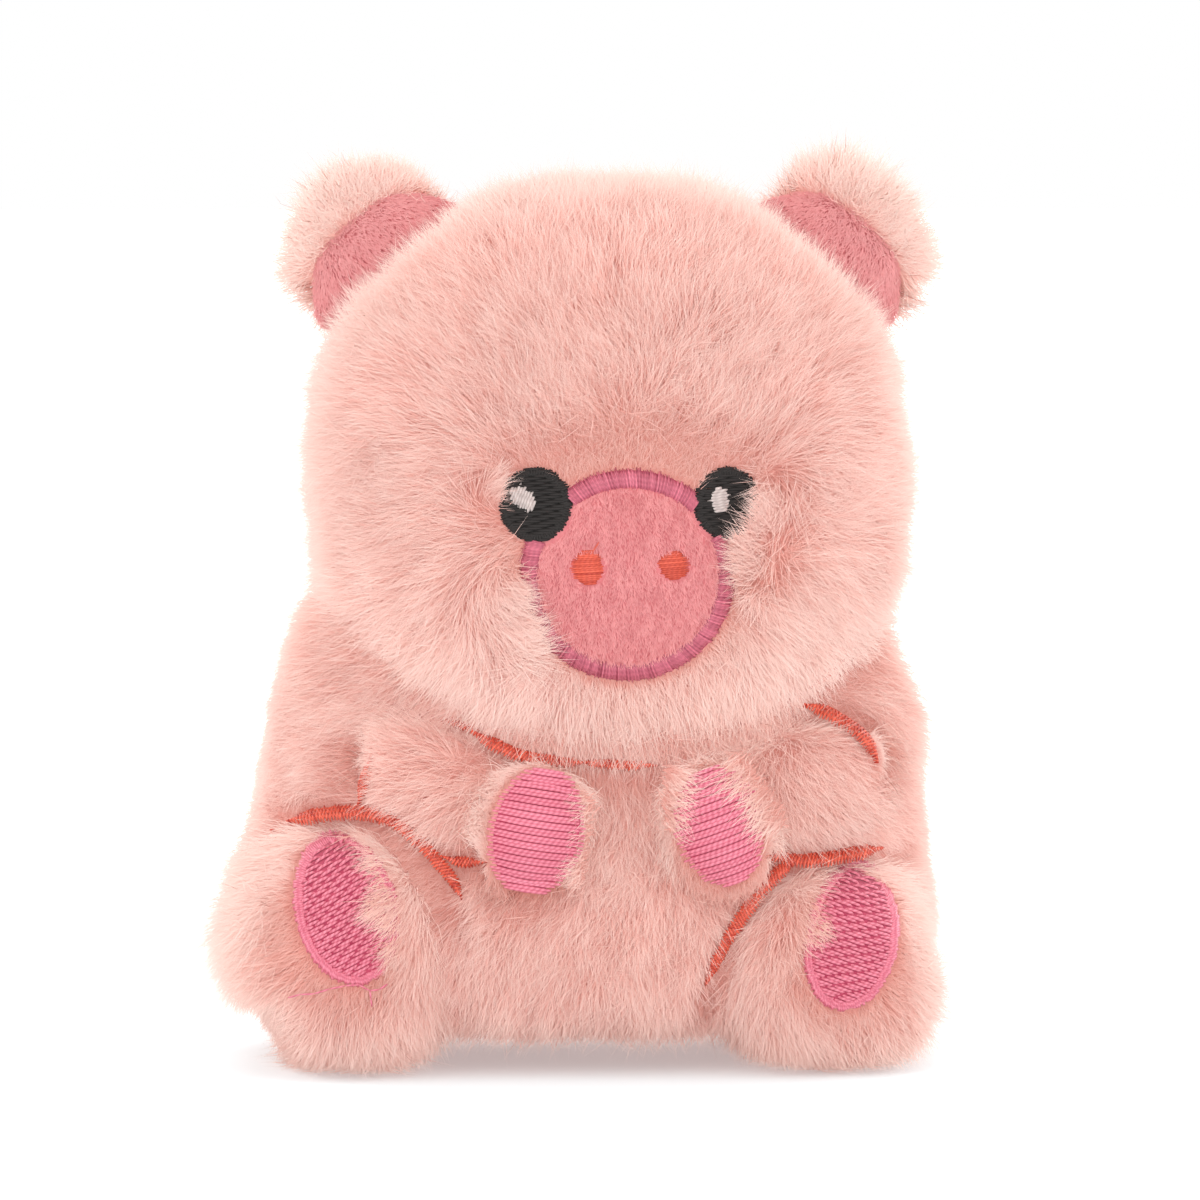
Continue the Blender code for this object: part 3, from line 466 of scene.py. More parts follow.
def strand_group():
    """Shade and height of a strand from its UV map: u is its own shade, v its height over the skin."""
    # The colours run from a darker root to a paler tip: partly the pile's own colour and partly painted light, with
    # shade deep in the pile and light through the tips.
    found = bpy.data.node_groups.get("strand shade")
    if found:
        return found
    group, into, out = node_group(
        "strand shade",
        [("Root", "NodeSocketColor", (0, 0, 0, 1)), ("Middle", "NodeSocketColor", (0, 0, 0, 1)),
         ("Tip", "NodeSocketColor", (0, 0, 0, 1)), ("Spread", "NodeSocketFloat", 0.2)],
        [("Color", "NodeSocketColor")],
    )
    nodes, links = group.nodes, group.links
    uv = nodes.new("ShaderNodeUVMap")
    uv.uv_map = BAKE_UV
    split = nodes.new("ShaderNodeSeparateXYZ")
    links.new(uv.outputs["UV"], split.inputs[0])
    lower = nodes.new("ShaderNodeMapRange")
    lower.inputs["From Max"].default_value = 0.5
    links.new(split.outputs["Y"], lower.inputs["Value"])
    upper = nodes.new("ShaderNodeMapRange")
    upper.inputs["From Min"].default_value = 0.45
    links.new(split.outputs["Y"], upper.inputs["Value"])
    first = nodes.new("ShaderNodeMix")
    first.data_type = "RGBA"
    links.new(lower.outputs["Result"], first.inputs["Factor"])
    links.new(into.outputs["Root"], first.inputs["A"])
    links.new(into.outputs["Middle"], first.inputs["B"])
    second = nodes.new("ShaderNodeMix")
    second.data_type = "RGBA"
    links.new(upper.outputs["Result"], second.inputs["Factor"])
    links.new(first.outputs["Result"], second.inputs["A"])
    links.new(into.outputs["Tip"], second.inputs["B"])
    centred = nodes.new("ShaderNodeMath")
    centred.operation = "SUBTRACT"
    links.new(split.outputs["X"], centred.inputs[0])
    centred.inputs[1].default_value = 0.5
    scaled = nodes.new("ShaderNodeMath")
    scaled.operation = "MULTIPLY_ADD"
    links.new(centred.outputs[0], scaled.inputs[0])
    links.new(into.outputs["Spread"], scaled.inputs[1])
    scaled.inputs[2].default_value = 1.0
    shaded = nodes.new("ShaderNodeVectorMath")
    shaded.operation = "SCALE"
    links.new(second.outputs["Result"], shaded.inputs[0])
    links.new(scaled.outputs[0], shaded.inputs["Scale"])
    links.new(shaded.outputs["Vector"], out.inputs["Color"])
    return group


def from_srgb(red, green, blue):
    def linear(value):
        value /= 255
        return value / 12.92 if value <= 0.04045 else ((value + 0.055) / 1.055) ** 2.4
    return (linear(red), linear(green), linear(blue), 1.0)


def new_material(name, roughness, sheen=0.0, specular=0.5, glow=None):
    """A plain material. Glow is a faint light of its own, which stands for the bounces inside a deep pile."""
    material = bpy.data.materials.new(name)
    material.use_nodes = True
    shader = material.node_tree.nodes["Principled BSDF"]
    if glow:
        shader.inputs["Emission Color"].default_value = glow
        shader.inputs["Emission Strength"].default_value = PILE_GLOW
    shader.inputs["Roughness"].default_value = roughness
    shader.inputs["Sheen Weight"].default_value = sheen
    shader.inputs["Sheen Roughness"].default_value = 0.5
    shader.inputs["Specular IOR Level"].default_value = specular
    return material, shader


def strand_material(name, root, middle, tip, spread, glow, roughness=0.8, sheen=0.0):
    found = bpy.data.materials.get(name)
    if found:
        return found
    material, shader = new_material(name, roughness, sheen, 0.12, glow)
    group = material.node_tree.nodes.new("ShaderNodeGroup")
    group.node_tree = strand_group()
    for label, colour in (("Root", root), ("Middle", middle), ("Tip", tip)):
        group.inputs[label].default_value = colour
    group.inputs["Spread"].default_value = spread
    material.node_tree.links.new(group.outputs["Color"], shader.inputs["Base Color"])
    return material


def mottled_material(name, low, high, cell, stretch=1.0, roughness=0.9, sheen=0.2, bump=0.15, glow=None):
    """Cloth whose colour and height vary in small patches, longer in Z by stretch."""
    found = bpy.data.materials.get(name)
    if found:
        return found
    material, shader = new_material(name, roughness, sheen, 0.2, glow)
    nodes, links = material.node_tree.nodes, material.node_tree.links
    place = nodes.new("ShaderNodeTexCoord")
    mapping = nodes.new("ShaderNodeMapping")
    mapping.inputs["Scale"].default_value = (1 / cell, 1 / cell, 1 / (cell * stretch))
    links.new(place.outputs["Object"], mapping.inputs["Vector"])
    noise = nodes.new("ShaderNodeTexNoise")
    noise.inputs["Scale"].default_value = 1.0
    noise.inputs["Detail"].default_value = 4.0
    links.new(mapping.outputs["Vector"], noise.inputs["Vector"])
    ramp = nodes.new("ShaderNodeValToRGB")
    ramp.color_ramp.elements[0].position, ramp.color_ramp.elements[1].position = 0.35, 0.65
    ramp.color_ramp.elements[0].color, ramp.color_ramp.elements[1].color = low, high
    links.new(noise.outputs["Fac"], ramp.inputs["Fac"])
    links.new(ramp.outputs["Color"], shader.inputs["Base Color"])
    relief = nodes.new("ShaderNodeBump")
    relief.inputs["Strength"].default_value = bump
    relief.inputs["Distance"].default_value = cell / 3
    links.new(noise.outputs["Fac"], relief.inputs["Height"])
    links.new(relief.outputs["Normal"], shader.inputs["Normal"])
    return material


def thread_material(name, dark, light, roughness=0.42, twist_highlight=1.0, spread=0.5):
    """Rayon thread: u is the thread's own shade, and v runs along and across it; bands of v are painted highlights of
    its twist.
    """
    found = bpy.data.materials.get(name)
    if found:
        return found
    material, shader = new_material(name, roughness, 0.0, 0.4)
    nodes, links = material.node_tree.nodes, material.node_tree.links
    uv = nodes.new("ShaderNodeUVMap")
    uv.uv_map = BAKE_UV
    split = nodes.new("ShaderNodeSeparateXYZ")
    links.new(uv.outputs["UV"], split.inputs[0])
    # Lighter and darker bands along the thread: painted highlights of its twist.
    phase = nodes.new("ShaderNodeMath")
    phase.operation = "MULTIPLY"
    links.new(split.outputs["Y"], phase.inputs[0])
    phase.inputs[1].default_value = 2 * math.pi * TWISTS
    wave = nodes.new("ShaderNodeMath")
    wave.operation = "SINE"
    links.new(phase.outputs[0], wave.inputs[0])
    ply_highlight = nodes.new("ShaderNodeMath")
    ply_highlight.operation = "MULTIPLY_ADD"
    links.new(wave.outputs[0], ply_highlight.inputs[0])
    ply_highlight.inputs[1].default_value = 0.3 * twist_highlight
    ply_highlight.inputs[2].default_value = 0.5 - spread / 2
    tone = nodes.new("ShaderNodeMath")
    tone.operation = "MULTIPLY_ADD"
    tone.use_clamp = True
    links.new(split.outputs["X"], tone.inputs[0])
    tone.inputs[1].default_value = spread
    links.new(ply_highlight.outputs[0], tone.inputs[2])
    mix = nodes.new("ShaderNodeMix")
    mix.data_type = "RGBA"
    mix.inputs["A"].default_value = dark
    mix.inputs["B"].default_value = light
    links.new(tone.outputs[0], mix.inputs["Factor"])
    links.new(mix.outputs["Result"], shader.inputs["Base Color"])
    return material


class Finishes:
    """The pig's finishes, made when first asked for."""

    @staticmethod
    def fur():
        colours = bpy.context.scene.pig_colours
        tones = [(*tone, 1) for tone in (colours.fur_root, colours.fur_middle, colours.fur_tip)]
        return strand_material("peach fur", *tones, 0.2, from_srgb(222, 158, 146))

    @staticmethod
    def ear_fur():
        return strand_material("ear fur", from_srgb(226, 154, 142), from_srgb(238, 188, 176),
                               from_srgb(250, 230, 220), 0.15, from_srgb(236, 186, 174))

    @staticmethod
    def skin():
        return mottled_material("fur backing", from_srgb(214, 146, 134), from_srgb(224, 160, 148), 0.0012,
                                glow=from_srgb(220, 154, 142))

    @staticmethod
    def ear_skin():
        return mottled_material("ear backing", from_srgb(236, 176, 164), from_srgb(242, 192, 180), 0.0012,
                                glow=from_srgb(232, 170, 158))

    @staticmethod
    def velboa():
        return strand_material("pink velboa", from_srgb(206, 106, 110), from_srgb(220, 137, 138),
                               from_srgb(234, 168, 166), 0.25, from_srgb(206, 118, 122))

    @staticmethod
    def velboa_cloth():
        return mottled_material("velboa backing", from_srgb(204, 112, 116), from_srgb(218, 132, 134), 0.0009, 2.5,
                                glow=from_srgb(204, 114, 118))

    @staticmethod
    def pink_thread():
        return thread_material("pink thread", from_srgb(198, 86, 108), from_srgb(240, 146, 164), 0.42, 0.9)

    @staticmethod
    def ring_thread():
        return thread_material("snout ring thread", from_srgb(138, 44, 64), from_srgb(228, 126, 144), 0.36, 0.3, 1.0)

    @staticmethod
    def coral_thread():
        return thread_material("coral thread", from_srgb(160, 34, 26), from_srgb(242, 112, 86), 0.42, 0.3, 1.0)

    @staticmethod
    def black_thread():
        return thread_material("black thread", from_srgb(36, 31, 30), from_srgb(49, 43, 41), 0.85, 0.1, 0.3)

    @staticmethod
    def white_thread():
        return thread_material("white thread", from_srgb(176, 158, 154), from_srgb(212, 195, 190), 0.6)

    # A dark sheet laid under the satin stitches: painted shade that shows in the gaps between them.
    @staticmethod
    def stitch_shadow_sheet():
        return mottled_material("stitch shadow", from_srgb(176, 64, 90), from_srgb(196, 84, 108), 0.0006)


def thread_mesh(name, starts, ends, level, radius, material, rng, stations=6, rise=1.0, sink=0.25, pitch=0.8,
                gap_shade=0.0):
    """Stitches lying on the front.

    Each runs from start to end in (x, z), follows level(x, z) in y, and is a half round whose middle rises by the
    radius times rise and whose ends dive into the cloth by sink. By gap_shade, every other one is painted lighter and
    the next darker: painted shade for the gaps between them.
    """
    starts, ends = np.asarray(starts, float), np.asarray(ends, float)
    count = len(starts)
    share = np.linspace(0, 1, stations)
    flat = starts[:, None] + (ends - starts)[:, None] * share[None, :, None]
    x, z = flat[..., 0], flat[..., 1]
    y = level(x.ravel(), z.ravel()).reshape(x.shape)

    def slope(dx, dz):
        change = level(x.ravel() + dx, z.ravel() + dz) - level(x.ravel() - dx, z.ravel() - dz)
        return np.clip(change.reshape(x.shape) / (2 * SLOPE_STEP_MM), -3, 3)

    normal = unit(np.stack([slope(SLOPE_STEP_MM, 0.0), -np.ones_like(x), slope(0.0, SLOPE_STEP_MM)], -1))
    centre = np.stack([x, y, z], -1)
    arch = np.sin(math.pi * share) ** 0.4
    centre = centre + normal * ((radius * rise + sink) * arch - sink)[None, :, None]
    along = unit(np.gradient(centre, axis=1))
    side = unit(np.cross(along, normal))
    around = np.linspace(-1.9, 1.9, 6)
    size = radius * (0.45 + 0.55 * arch)[None, :, None, None]
    ring = side[:, :, None] * np.sin(around)[:, None] + normal[:, :, None] * np.cos(around)[:, None]
    points = centre[:, :, None] + ring * size
    across = len(around)
    length = np.linalg.norm(ends - starts, axis=1)
    # Every other stitch is painted lighter and the next darker: painted shade for the gaps between stitches.
    u = 0.5 + 0.13 * rng.standard_normal(count) + gap_shade * (-1.0) ** np.arange(count)
    u = np.clip(u, 0.04, 0.96)[:, None, None] + np.linspace(-0.02, 0.02, across)
    u = np.broadcast_to(u, (count, stations, across))
    # v climbs one painted twist highlight each pitch along the thread.
    turns = share[None] * length[:, None] / pitch
    v = rng.integers(0, 4, count)[:, None, None] + turns[:, :, None] + np.linspace(0, 0.8, across)
    v = 0.02 + v / TWISTS
    row, column = np.meshgrid(np.arange(stations - 1), np.arange(across - 1), indexing="ij")
    a = (row * across + column).ravel()
    quads = np.stack([a, a + 1, a + 1 + across, a + across], -1)
    faces = (np.arange(count)[:, None, None] * stations * across + quads[None]).reshape(-1, 4)
    uv = np.stack([u, v], -1).reshape(-1, 2)
    obj = new_mesh(name, points.reshape(-1, 3), faces, uv)
    obj.data.materials.append(material)
    return obj


def oval_points(shape, angle, grow=0.0):
    """Points of an oval outline at angles from +X."""
    x = (shape["size"][0] / 2 + grow) * np.cos(angle)
    z = (shape["size"][1] / 2 + grow) * np.sin(angle)
    c, s = math.cos(shape["turn"]), math.sin(shape["turn"])
    return np.stack([shape["middle"][0] + x * c + z * s, shape["middle"][1] - x * s + z * c], -1)


def oval_patch(name, shape, level, material, grow=0.0, rings=14, around=72, dome=0.0):
    """A closed disc over an oval on the front: rings shrink to its middle, it rises by dome, and its back lies 0.6 mm
    behind its front.
    """
    share = np.sqrt(np.linspace(0, 1, rings))[::-1]
    angle = np.linspace(0, 2 * math.pi, around, endpoint=False)
    edge = oval_points(shape, angle, grow)
    middle = np.array(shape["middle"])
    flat = middle + (edge - middle)[None] * share[:, None, None]
    x, z = flat[..., 0], flat[..., 1]
    y = level(x.ravel(), z.ravel()).reshape(x.shape) - dome * (1 - share[:, None] ** 2)
    front = np.stack([x, y, z], -1)
    behind = front + np.array([0, 0.6, 0])
    points = np.concatenate([front[:-1].reshape(-1, 3), front[-1:, 0], behind[:-1].reshape(-1, 3), behind[-1:, 0]])
    half = (rings - 1) * around + 1
    row, column = np.meshgrid(np.arange(rings - 2), np.arange(around), indexing="ij")
    after = (column + 1) % around
    a, b = (row * around + column).ravel(), (row * around + after).ravel()
    fronts = np.concatenate([np.stack([a, b, b + around], -1), np.stack([a, b + around, a + around], -1)])
    column = np.arange(around)
    after = (column + 1) % around
    last = (rings - 2) * around
    fan = np.stack([last + column, last + after, np.full(around, half - 1)], -1)
    fronts = np.concatenate([fronts, fan])
    rim = np.concatenate([np.stack([column, column + half, after + half], -1),
                          np.stack([column, after + half, after], -1)])
    faces = np.concatenate([fronts, fronts[:, ::-1] + half, rim])
    obj = new_mesh(name, points, faces)
    obj.data.materials.append(material)
    return obj


def rows_in_oval(shape, slant, spacing, rng, piece_mm=None, ragged=0.2, pair=0.0):
    """Parallel stitches that fill an oval: rows at a slant, cut to the outline, in pieces of piece_mm if given."""
    a, b = shape["size"][0] / 2, shape["size"][1] / 2
    reach = max(a, b)
    offsets = np.arange(-reach, reach, spacing)
    offsets = offsets + pair * (-1.0) ** np.arange(len(offsets))
    along = np.array([math.cos(slant), math.sin(slant)])
    across = np.array([-along[1], along[0]])
    c, s = math.cos(shape["turn"]), math.sin(shape["turn"])

    def own(vector):
        return np.array([vector[0] * c - vector[1] * s, vector[0] * s + vector[1] * c])

    u, w = own(along), own(across)
    starts, ends = [], []
    for index, offset in enumerate(offsets):
        p = w * offset
        qa = (u[0] / a) ** 2 + (u[1] / b) ** 2
        qb = 2 * (p[0] * u[0] / a**2 + p[1] * u[1] / b**2)
        qc = (p[0] / a) ** 2 + (p[1] / b) ** 2 - 1
        inner = qb * qb - 4 * qa * qc
        if inner <= 0.02:
            continue
        low, high = (-qb - math.sqrt(inner)) / (2 * qa), (-qb + math.sqrt(inner)) / (2 * qa)
        low, high = low + rng.uniform(-ragged, ragged), high + rng.uniform(-ragged, ragged)
        cuts = [low, high]
        if piece_mm:
            first = low + piece_mm * ((index * 0.38) % 1.0)
            cuts = [low, *np.arange(first if first - low > 0.5 else first + piece_mm, high - 0.5, piece_mm), high]
        middle = np.array(shape["middle"])
        for one, two in zip(cuts[:-1], cuts[1:]):
            starts.append(middle + along * (one - 0.06) + across * offset)
            ends.append(middle + along * (two + 0.06) + across * offset)
    return np.array(starts), np.array(ends)


def radial_stitches(shape, inner, outer, spacing, rng, ragged, lean=0.0):
    """Satin stitches across an oval's edge, from `inner` to `outer` millimetres outside it, with ragged ends."""
    fine = np.linspace(0, 2 * math.pi, 721)
    edge = oval_points(shape, fine)
    run = np.concatenate([[0], np.cumsum(np.linalg.norm(np.diff(edge, axis=0), axis=1))])
    angle = np.interp(np.arange(0, run[-1], spacing), run, fine)
    inside = oval_points(shape, angle - lean, inner)
    outside = oval_points(shape, angle, outer)
    way = unit(outside - inside)
    starts = inside - way * rng.uniform(0, ragged, (len(angle), 1))
    return starts, outside + way * rng.uniform(-ragged, ragged, (len(angle), 1))


def line_stitches(path, width, spacing, rng):
    """Zig-zag satin stitches across a smoothed path: each crosses it at a slant, with ragged ends."""
    points = np.array(path, float)
    for _ in range(2):
        cut = np.empty((2 * len(points) - 2, 2))
        cut[0::2] = points[:-1] * 0.75 + points[1:] * 0.25
        cut[1::2] = points[:-1] * 0.25 + points[1:] * 0.75
        points = np.concatenate([points[:1], cut, points[-1:]])
    run = np.concatenate([[0], np.cumsum(np.linalg.norm(np.diff(points, axis=0), axis=1))])
    at = np.arange(0, run[-1], spacing)
    place = np.stack([np.interp(at, run, points[:, 0]), np.interp(at, run, points[:, 1])], -1)
    along = unit(np.gradient(place, axis=0))
    across = np.stack([-along[:, 1], along[:, 0]], -1)
    taper = np.clip(np.minimum(at, run[-1] - at) / 2.0, 0.15, 1.0)[:, None]
    half = width / 2 * taper * rng.uniform(0.85, 1.12, (len(at), 1))
    slant = along * (0.3 * taper * (-1.0) ** np.arange(len(at))[:, None] + 0.05)
    return place - across * half - slant, place + across * half + slant


def ear_gap(x, z):
    """How far a point of the head is from the nearer ear's base line, in millimetres."""
    gaps = []
    for side in (-1, 1):
        along, _, _, base = ear_basis(side)
        gaps.append(line_gap([(base - along * 8)[[0, 2]], (base + along * 8)[[0, 2]]], x, z)[0])
    return np.minimum(*gaps)


def fur_on(name, form, body, rng, options):
    """Fur over one form: roots scattered on its skin, thinner behind, and kept out of other forms and embroidery, then
    combed."""
    sizes = bpy.context.scene.pig_sizes
    skin = form.grid(90, 120, sizes.root_depth / MM)
    roots, normals = scatter(skin, int(grid_area(skin) * sizes.density), rng)
    front = smoothstep(0.5, 0.0, normals[:, 1])
    keep = (rng.random(len(roots)) < 0.26 + 0.74 * front) & (roots[:, 2] > 0.35)
    for other in options.get("others", ()):
        keep &= ~other.holds(roots, sizes.root_depth / MM - 0.2)
    roots, normals, front = roots[keep], normals[keep], front[keep]
    x, z = roots[:, 0], roots[:, 2]
    short = np.ones(len(roots))
    bare, tucked = np.zeros(len(roots), bool), np.zeros(len(roots), bool)
    aim, hook = np.zeros_like(roots), np.zeros_like(roots)
    facing = front * smoothstep(-0.05, -0.35, normals[:, 1])
    for outline, low, high, least in options["outlines"]:
        gap = oval_gap(outline, x, z)
        bare |= (gap < -0.2) & (facing > 0.5)
        short = np.minimum(short, 1 - facing * (1 - least) * (1 - smoothstep(low, high, gap)))
        away = unit(np.stack([x - outline["middle"][0], z - outline["middle"][1]], -1))
        aim[:, ::2] += away * (0.35 * facing * np.exp(-(np.maximum(gap, 0) / 1.5) ** 2))[:, None]
    for path, low, high, least in options["lines"]:
        gap, away = line_gap(path, x, z)
        tucked |= (gap < 0.4) & (facing > 0.4)
        short = np.minimum(short, 1 - front * (1 - least) * (1 - smoothstep(low, high, gap)))
        aim[:, ::2] += away * (0.8 * front * np.exp(-(gap / 1.8) ** 2))[:, None]
    for outline, low, high, least in options.get("mown", ()):
        short = np.minimum(short, 1 - facing * (1 - least) * (1 - smoothstep(low, high, oval_gap(outline, x, z))))
    over = np.zeros(len(roots))
    for hang_x, hang_z, radius, dx, dz, share, reach in OVERHANGS:
        weight = front * np.exp(-((x - hang_x) ** 2 + (z - hang_z) ** 2) / (2 * radius**2))
        short = np.maximum(short, share * weight)
        aim = aim * (1 - weight)[:, None] + (2.0 * weight)[:, None] * np.array([dx, 0.0, dz])
        hook += (reach * weight)[:, None] * np.array([dx, 0.0, dz])
        over = np.maximum(over, weight)
    bare &= over < 0.55
    roots, normals, front, short, over, aim, hook, tucked = (
        part[~bare] for part in (roots, normals, front, short, over, aim, hook, tucked))
    way = comb_direction(roots, normals)
    wander = lattice_noise(roots, 5.5, SEED + 1, 3) * 0.42 + lattice_noise(roots, 1.5, SEED + 2, 3) * 0.55
    way = unit(way + wander + aim * 2.4 + rng.normal(0, 0.3, roots.shape))
    outward = (way * normals).sum(1)
    lean = unit(way - outward[:, None] * normals)
    length = options["length"] * (0.5 + 0.7 * rng.random(len(roots)))
    length *= 1 + 0.2 * lattice_noise(roots, 3.0, SEED + 3)[:, 0]
    length *= short
    if "trim" in options:
        length *= options["trim"](roots)
    stray = rng.random(len(roots)) < 0.08
    length = np.where(stray, length * 1.15, length)
    length = np.where(tucked, np.minimum(length, 1.1), length)
    inward = np.maximum(-outward, 0)
    start = np.radians(options["lift"][0]) + np.maximum(outward, 0) * 0.12 - inward * 0.55
    end = np.radians(options["lift"][1]) + np.maximum(outward, 0) * 0.3 - inward * 0.3
    start, end = start + rng.normal(0, 0.18, len(roots)), end + rng.normal(0, 0.26, len(roots))
    start, end = start + 0.15 * over, np.where(stray, end + 0.3, end) - 0.1 * over
    drop = np.maximum(-lean[:, 2] * 0.85 - normals[:, 2] * 0.4, 0) * length
    rest = roots[:, 2] - options.get("ground", 0.0) - 1.6 * rng.random(len(roots)) ** 2
    length *= np.clip(rest / np.maximum(drop, 1e-3), 0.25, 1.0)
    centres, chance = tuft_centres(roots, sizes.tuft / MM, SEED + 4)
    pull = centres - roots
    pull -= (pull * normals).sum(1)[:, None] * normals
    pull *= (sizes.gather * (0.3 + 0.7 * chance) * np.where(stray, 0.1, 1.0) * (0.35 + 0.65 * short))[:, None]
    pull += hook * length[:, None]
    width = sizes.strand_width / MM * rng.uniform(0.7, 1.3, len(roots)) * (2.5 - 1.5 * front)
    shade = np.clip(0.5 + 0.15 * (chance - 0.5) + 0.12 * rng.standard_normal(len(roots)) +
                    0.2 * lattice_noise(roots, 6.0, SEED + 5)[:, 0], 0.03, 0.97)
    # Short strands show only the colours nearer the root, so the short fur round the embroidery is darker: painted
    # shade where the pile lies low.
    tone = np.clip(0.62 + 0.4 * short, 0, 1)
    lit = unit(normals + (0.9 * front)[:, None] * np.array([0.0, -1.0, 0.1]))
    # Painted light: strands whose skin faces sideways or up are paler, a painted pale rim of light. Front strands that
    # face down are paler by under, painting out the shade under the chin and legs. Strands that hang over the
    # embroidery are paler too.
    pale = 0.4 * smoothstep(0.8, 1.0, np.hypot(normals[:, 0], np.maximum(normals[:, 2], 0))) + 0.15 * over
    pale += options.get("under", 0.0) * front * smoothstep(0.0, -0.6, normals[:, 2])
    around = np.arctan2(roots[:, 1] - form.centre[1], roots[:, 0] - form.centre[0])
    for half, chosen in (("front", front > 0.5), ("back", front <= 0.5)):
        which = np.flatnonzero(chosen)
        which = which[np.argsort(around[which])]
        parts = max(1, math.ceil(len(which) * 3 / 180000))
        for number, pick in enumerate(np.array_split(which, parts)):
            if not len(pick):
                continue
            piece = strand_mesh(f"{name}_{half}_{number + 1}", roots[pick], normals[pick], lean[pick], length[pick],
                                (start[pick], end[pick]), width[pick], shade[pick], rng, 2, pull[pick],
                                Finishes.fur(), sizes.curl / MM, tone[pick], lit[pick], pale[pick])
            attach(piece, body)


class PigSizes(bpy.types.PropertyGroup):
    """Sizes that set how the pile and the thread look."""

    density: bpy.props.FloatProperty(
        name="Strand density", description="Fur strands to a square millimetre", default=42.8, min=1.0)
    strand_width: bpy.props.FloatProperty(
        name="Strand width", description="Width of a fur strand at its root", default=0.000072,
        unit="LENGTH", subtype="DISTANCE")
    root_depth: bpy.props.FloatProperty(
        name="Root depth", description="How far the skin lies under the fur's outer form", default=0.0019,
        unit="LENGTH", subtype="DISTANCE")
    fur_length: bpy.props.FloatProperty(
        name="Fur length", description="Length of the head's fur", default=0.0053, unit="LENGTH", subtype="DISTANCE")
    tuft: bpy.props.FloatProperty(
        name="Tuft size", description="Spacing of the locks that the fur gathers in", default=0.0011,
        unit="LENGTH", subtype="DISTANCE")
    curl: bpy.props.FloatProperty(
        name="Curl", description="How far a strand swings to the side", default=0.0005, unit="LENGTH",
        subtype="DISTANCE")
    gather: bpy.props.FloatProperty(
        name="Gathering", description="How far the tips draw together in each lock", default=0.66, min=0.0, max=1.0,
        subtype="FACTOR")


class PigColours(bpy.types.PropertyGroup):
    """Colours of the fur."""

    # From root to tip the fur grows paler: partly its own colour and partly painted shade deep in the pile and painted
    # light at the tips.
    fur_root: bpy.props.FloatVectorProperty(
        name="Fur root", description="Colour deep in the pile", subtype="COLOR", size=3, min=0, max=1,
        default=from_srgb(213, 140, 128)[:3])
    fur_middle: bpy.props.FloatVectorProperty(
        name="Fur middle", description="Colour halfway up the pile", subtype="COLOR", size=3, min=0, max=1,
        default=from_srgb(226, 168, 156)[:3])
    fur_tip: bpy.props.FloatVectorProperty(
        name="Fur tip", description="Colour of the tips", subtype="COLOR", size=3, min=0, max=1,
        default=from_srgb(251, 227, 217)[:3])


def skin_piece(name, form, nodes):
    sizes = bpy.context.scene.pig_sizes
    piece = grid_mesh(name, form.grid(48, 72, sizes.root_depth / MM), Finishes.skin())
    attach(piece, "plush")
    if nodes:
        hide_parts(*nodes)


class PIG_OT_cover(bpy.types.Operator):
    """Sewn and stuffed skins of the head, the torso, the legs, the arms and the hands"""

    bl_idname = "pig.cover"
    bl_label = "Stuffed cover"

    def execute(self, context):
        skin_piece("head_cover", HEAD, ("head_front_panel", "head_back_panel", "head_stuffing"))
        skin_piece("torso_cover", TORSO,
                   ("torso_front_panel", "torso_back_panel", "torso_stuffing", "pellet_bag"))
        for name, _ in SIDES:
            skin_piece("leg_cover_" + name, LEGS[name], ("leg_" + name,))
            skin_piece("arm_cover_" + name, ARMS[name], ("arm_" + name,))
            skin_piece("hand_cover_" + name, HANDS[name], ())
        return {"FINISHED"}


def hand_level(name):
    """The face of a hand's pad: 1.5 mm inside the hand's form, and at least 3.2 mm before its middle."""
    def level(x, z):
        return np.minimum(HANDS[name].front_y(x, z, 1.5), HANDS[name].centre[1] - 3.2)
    return level


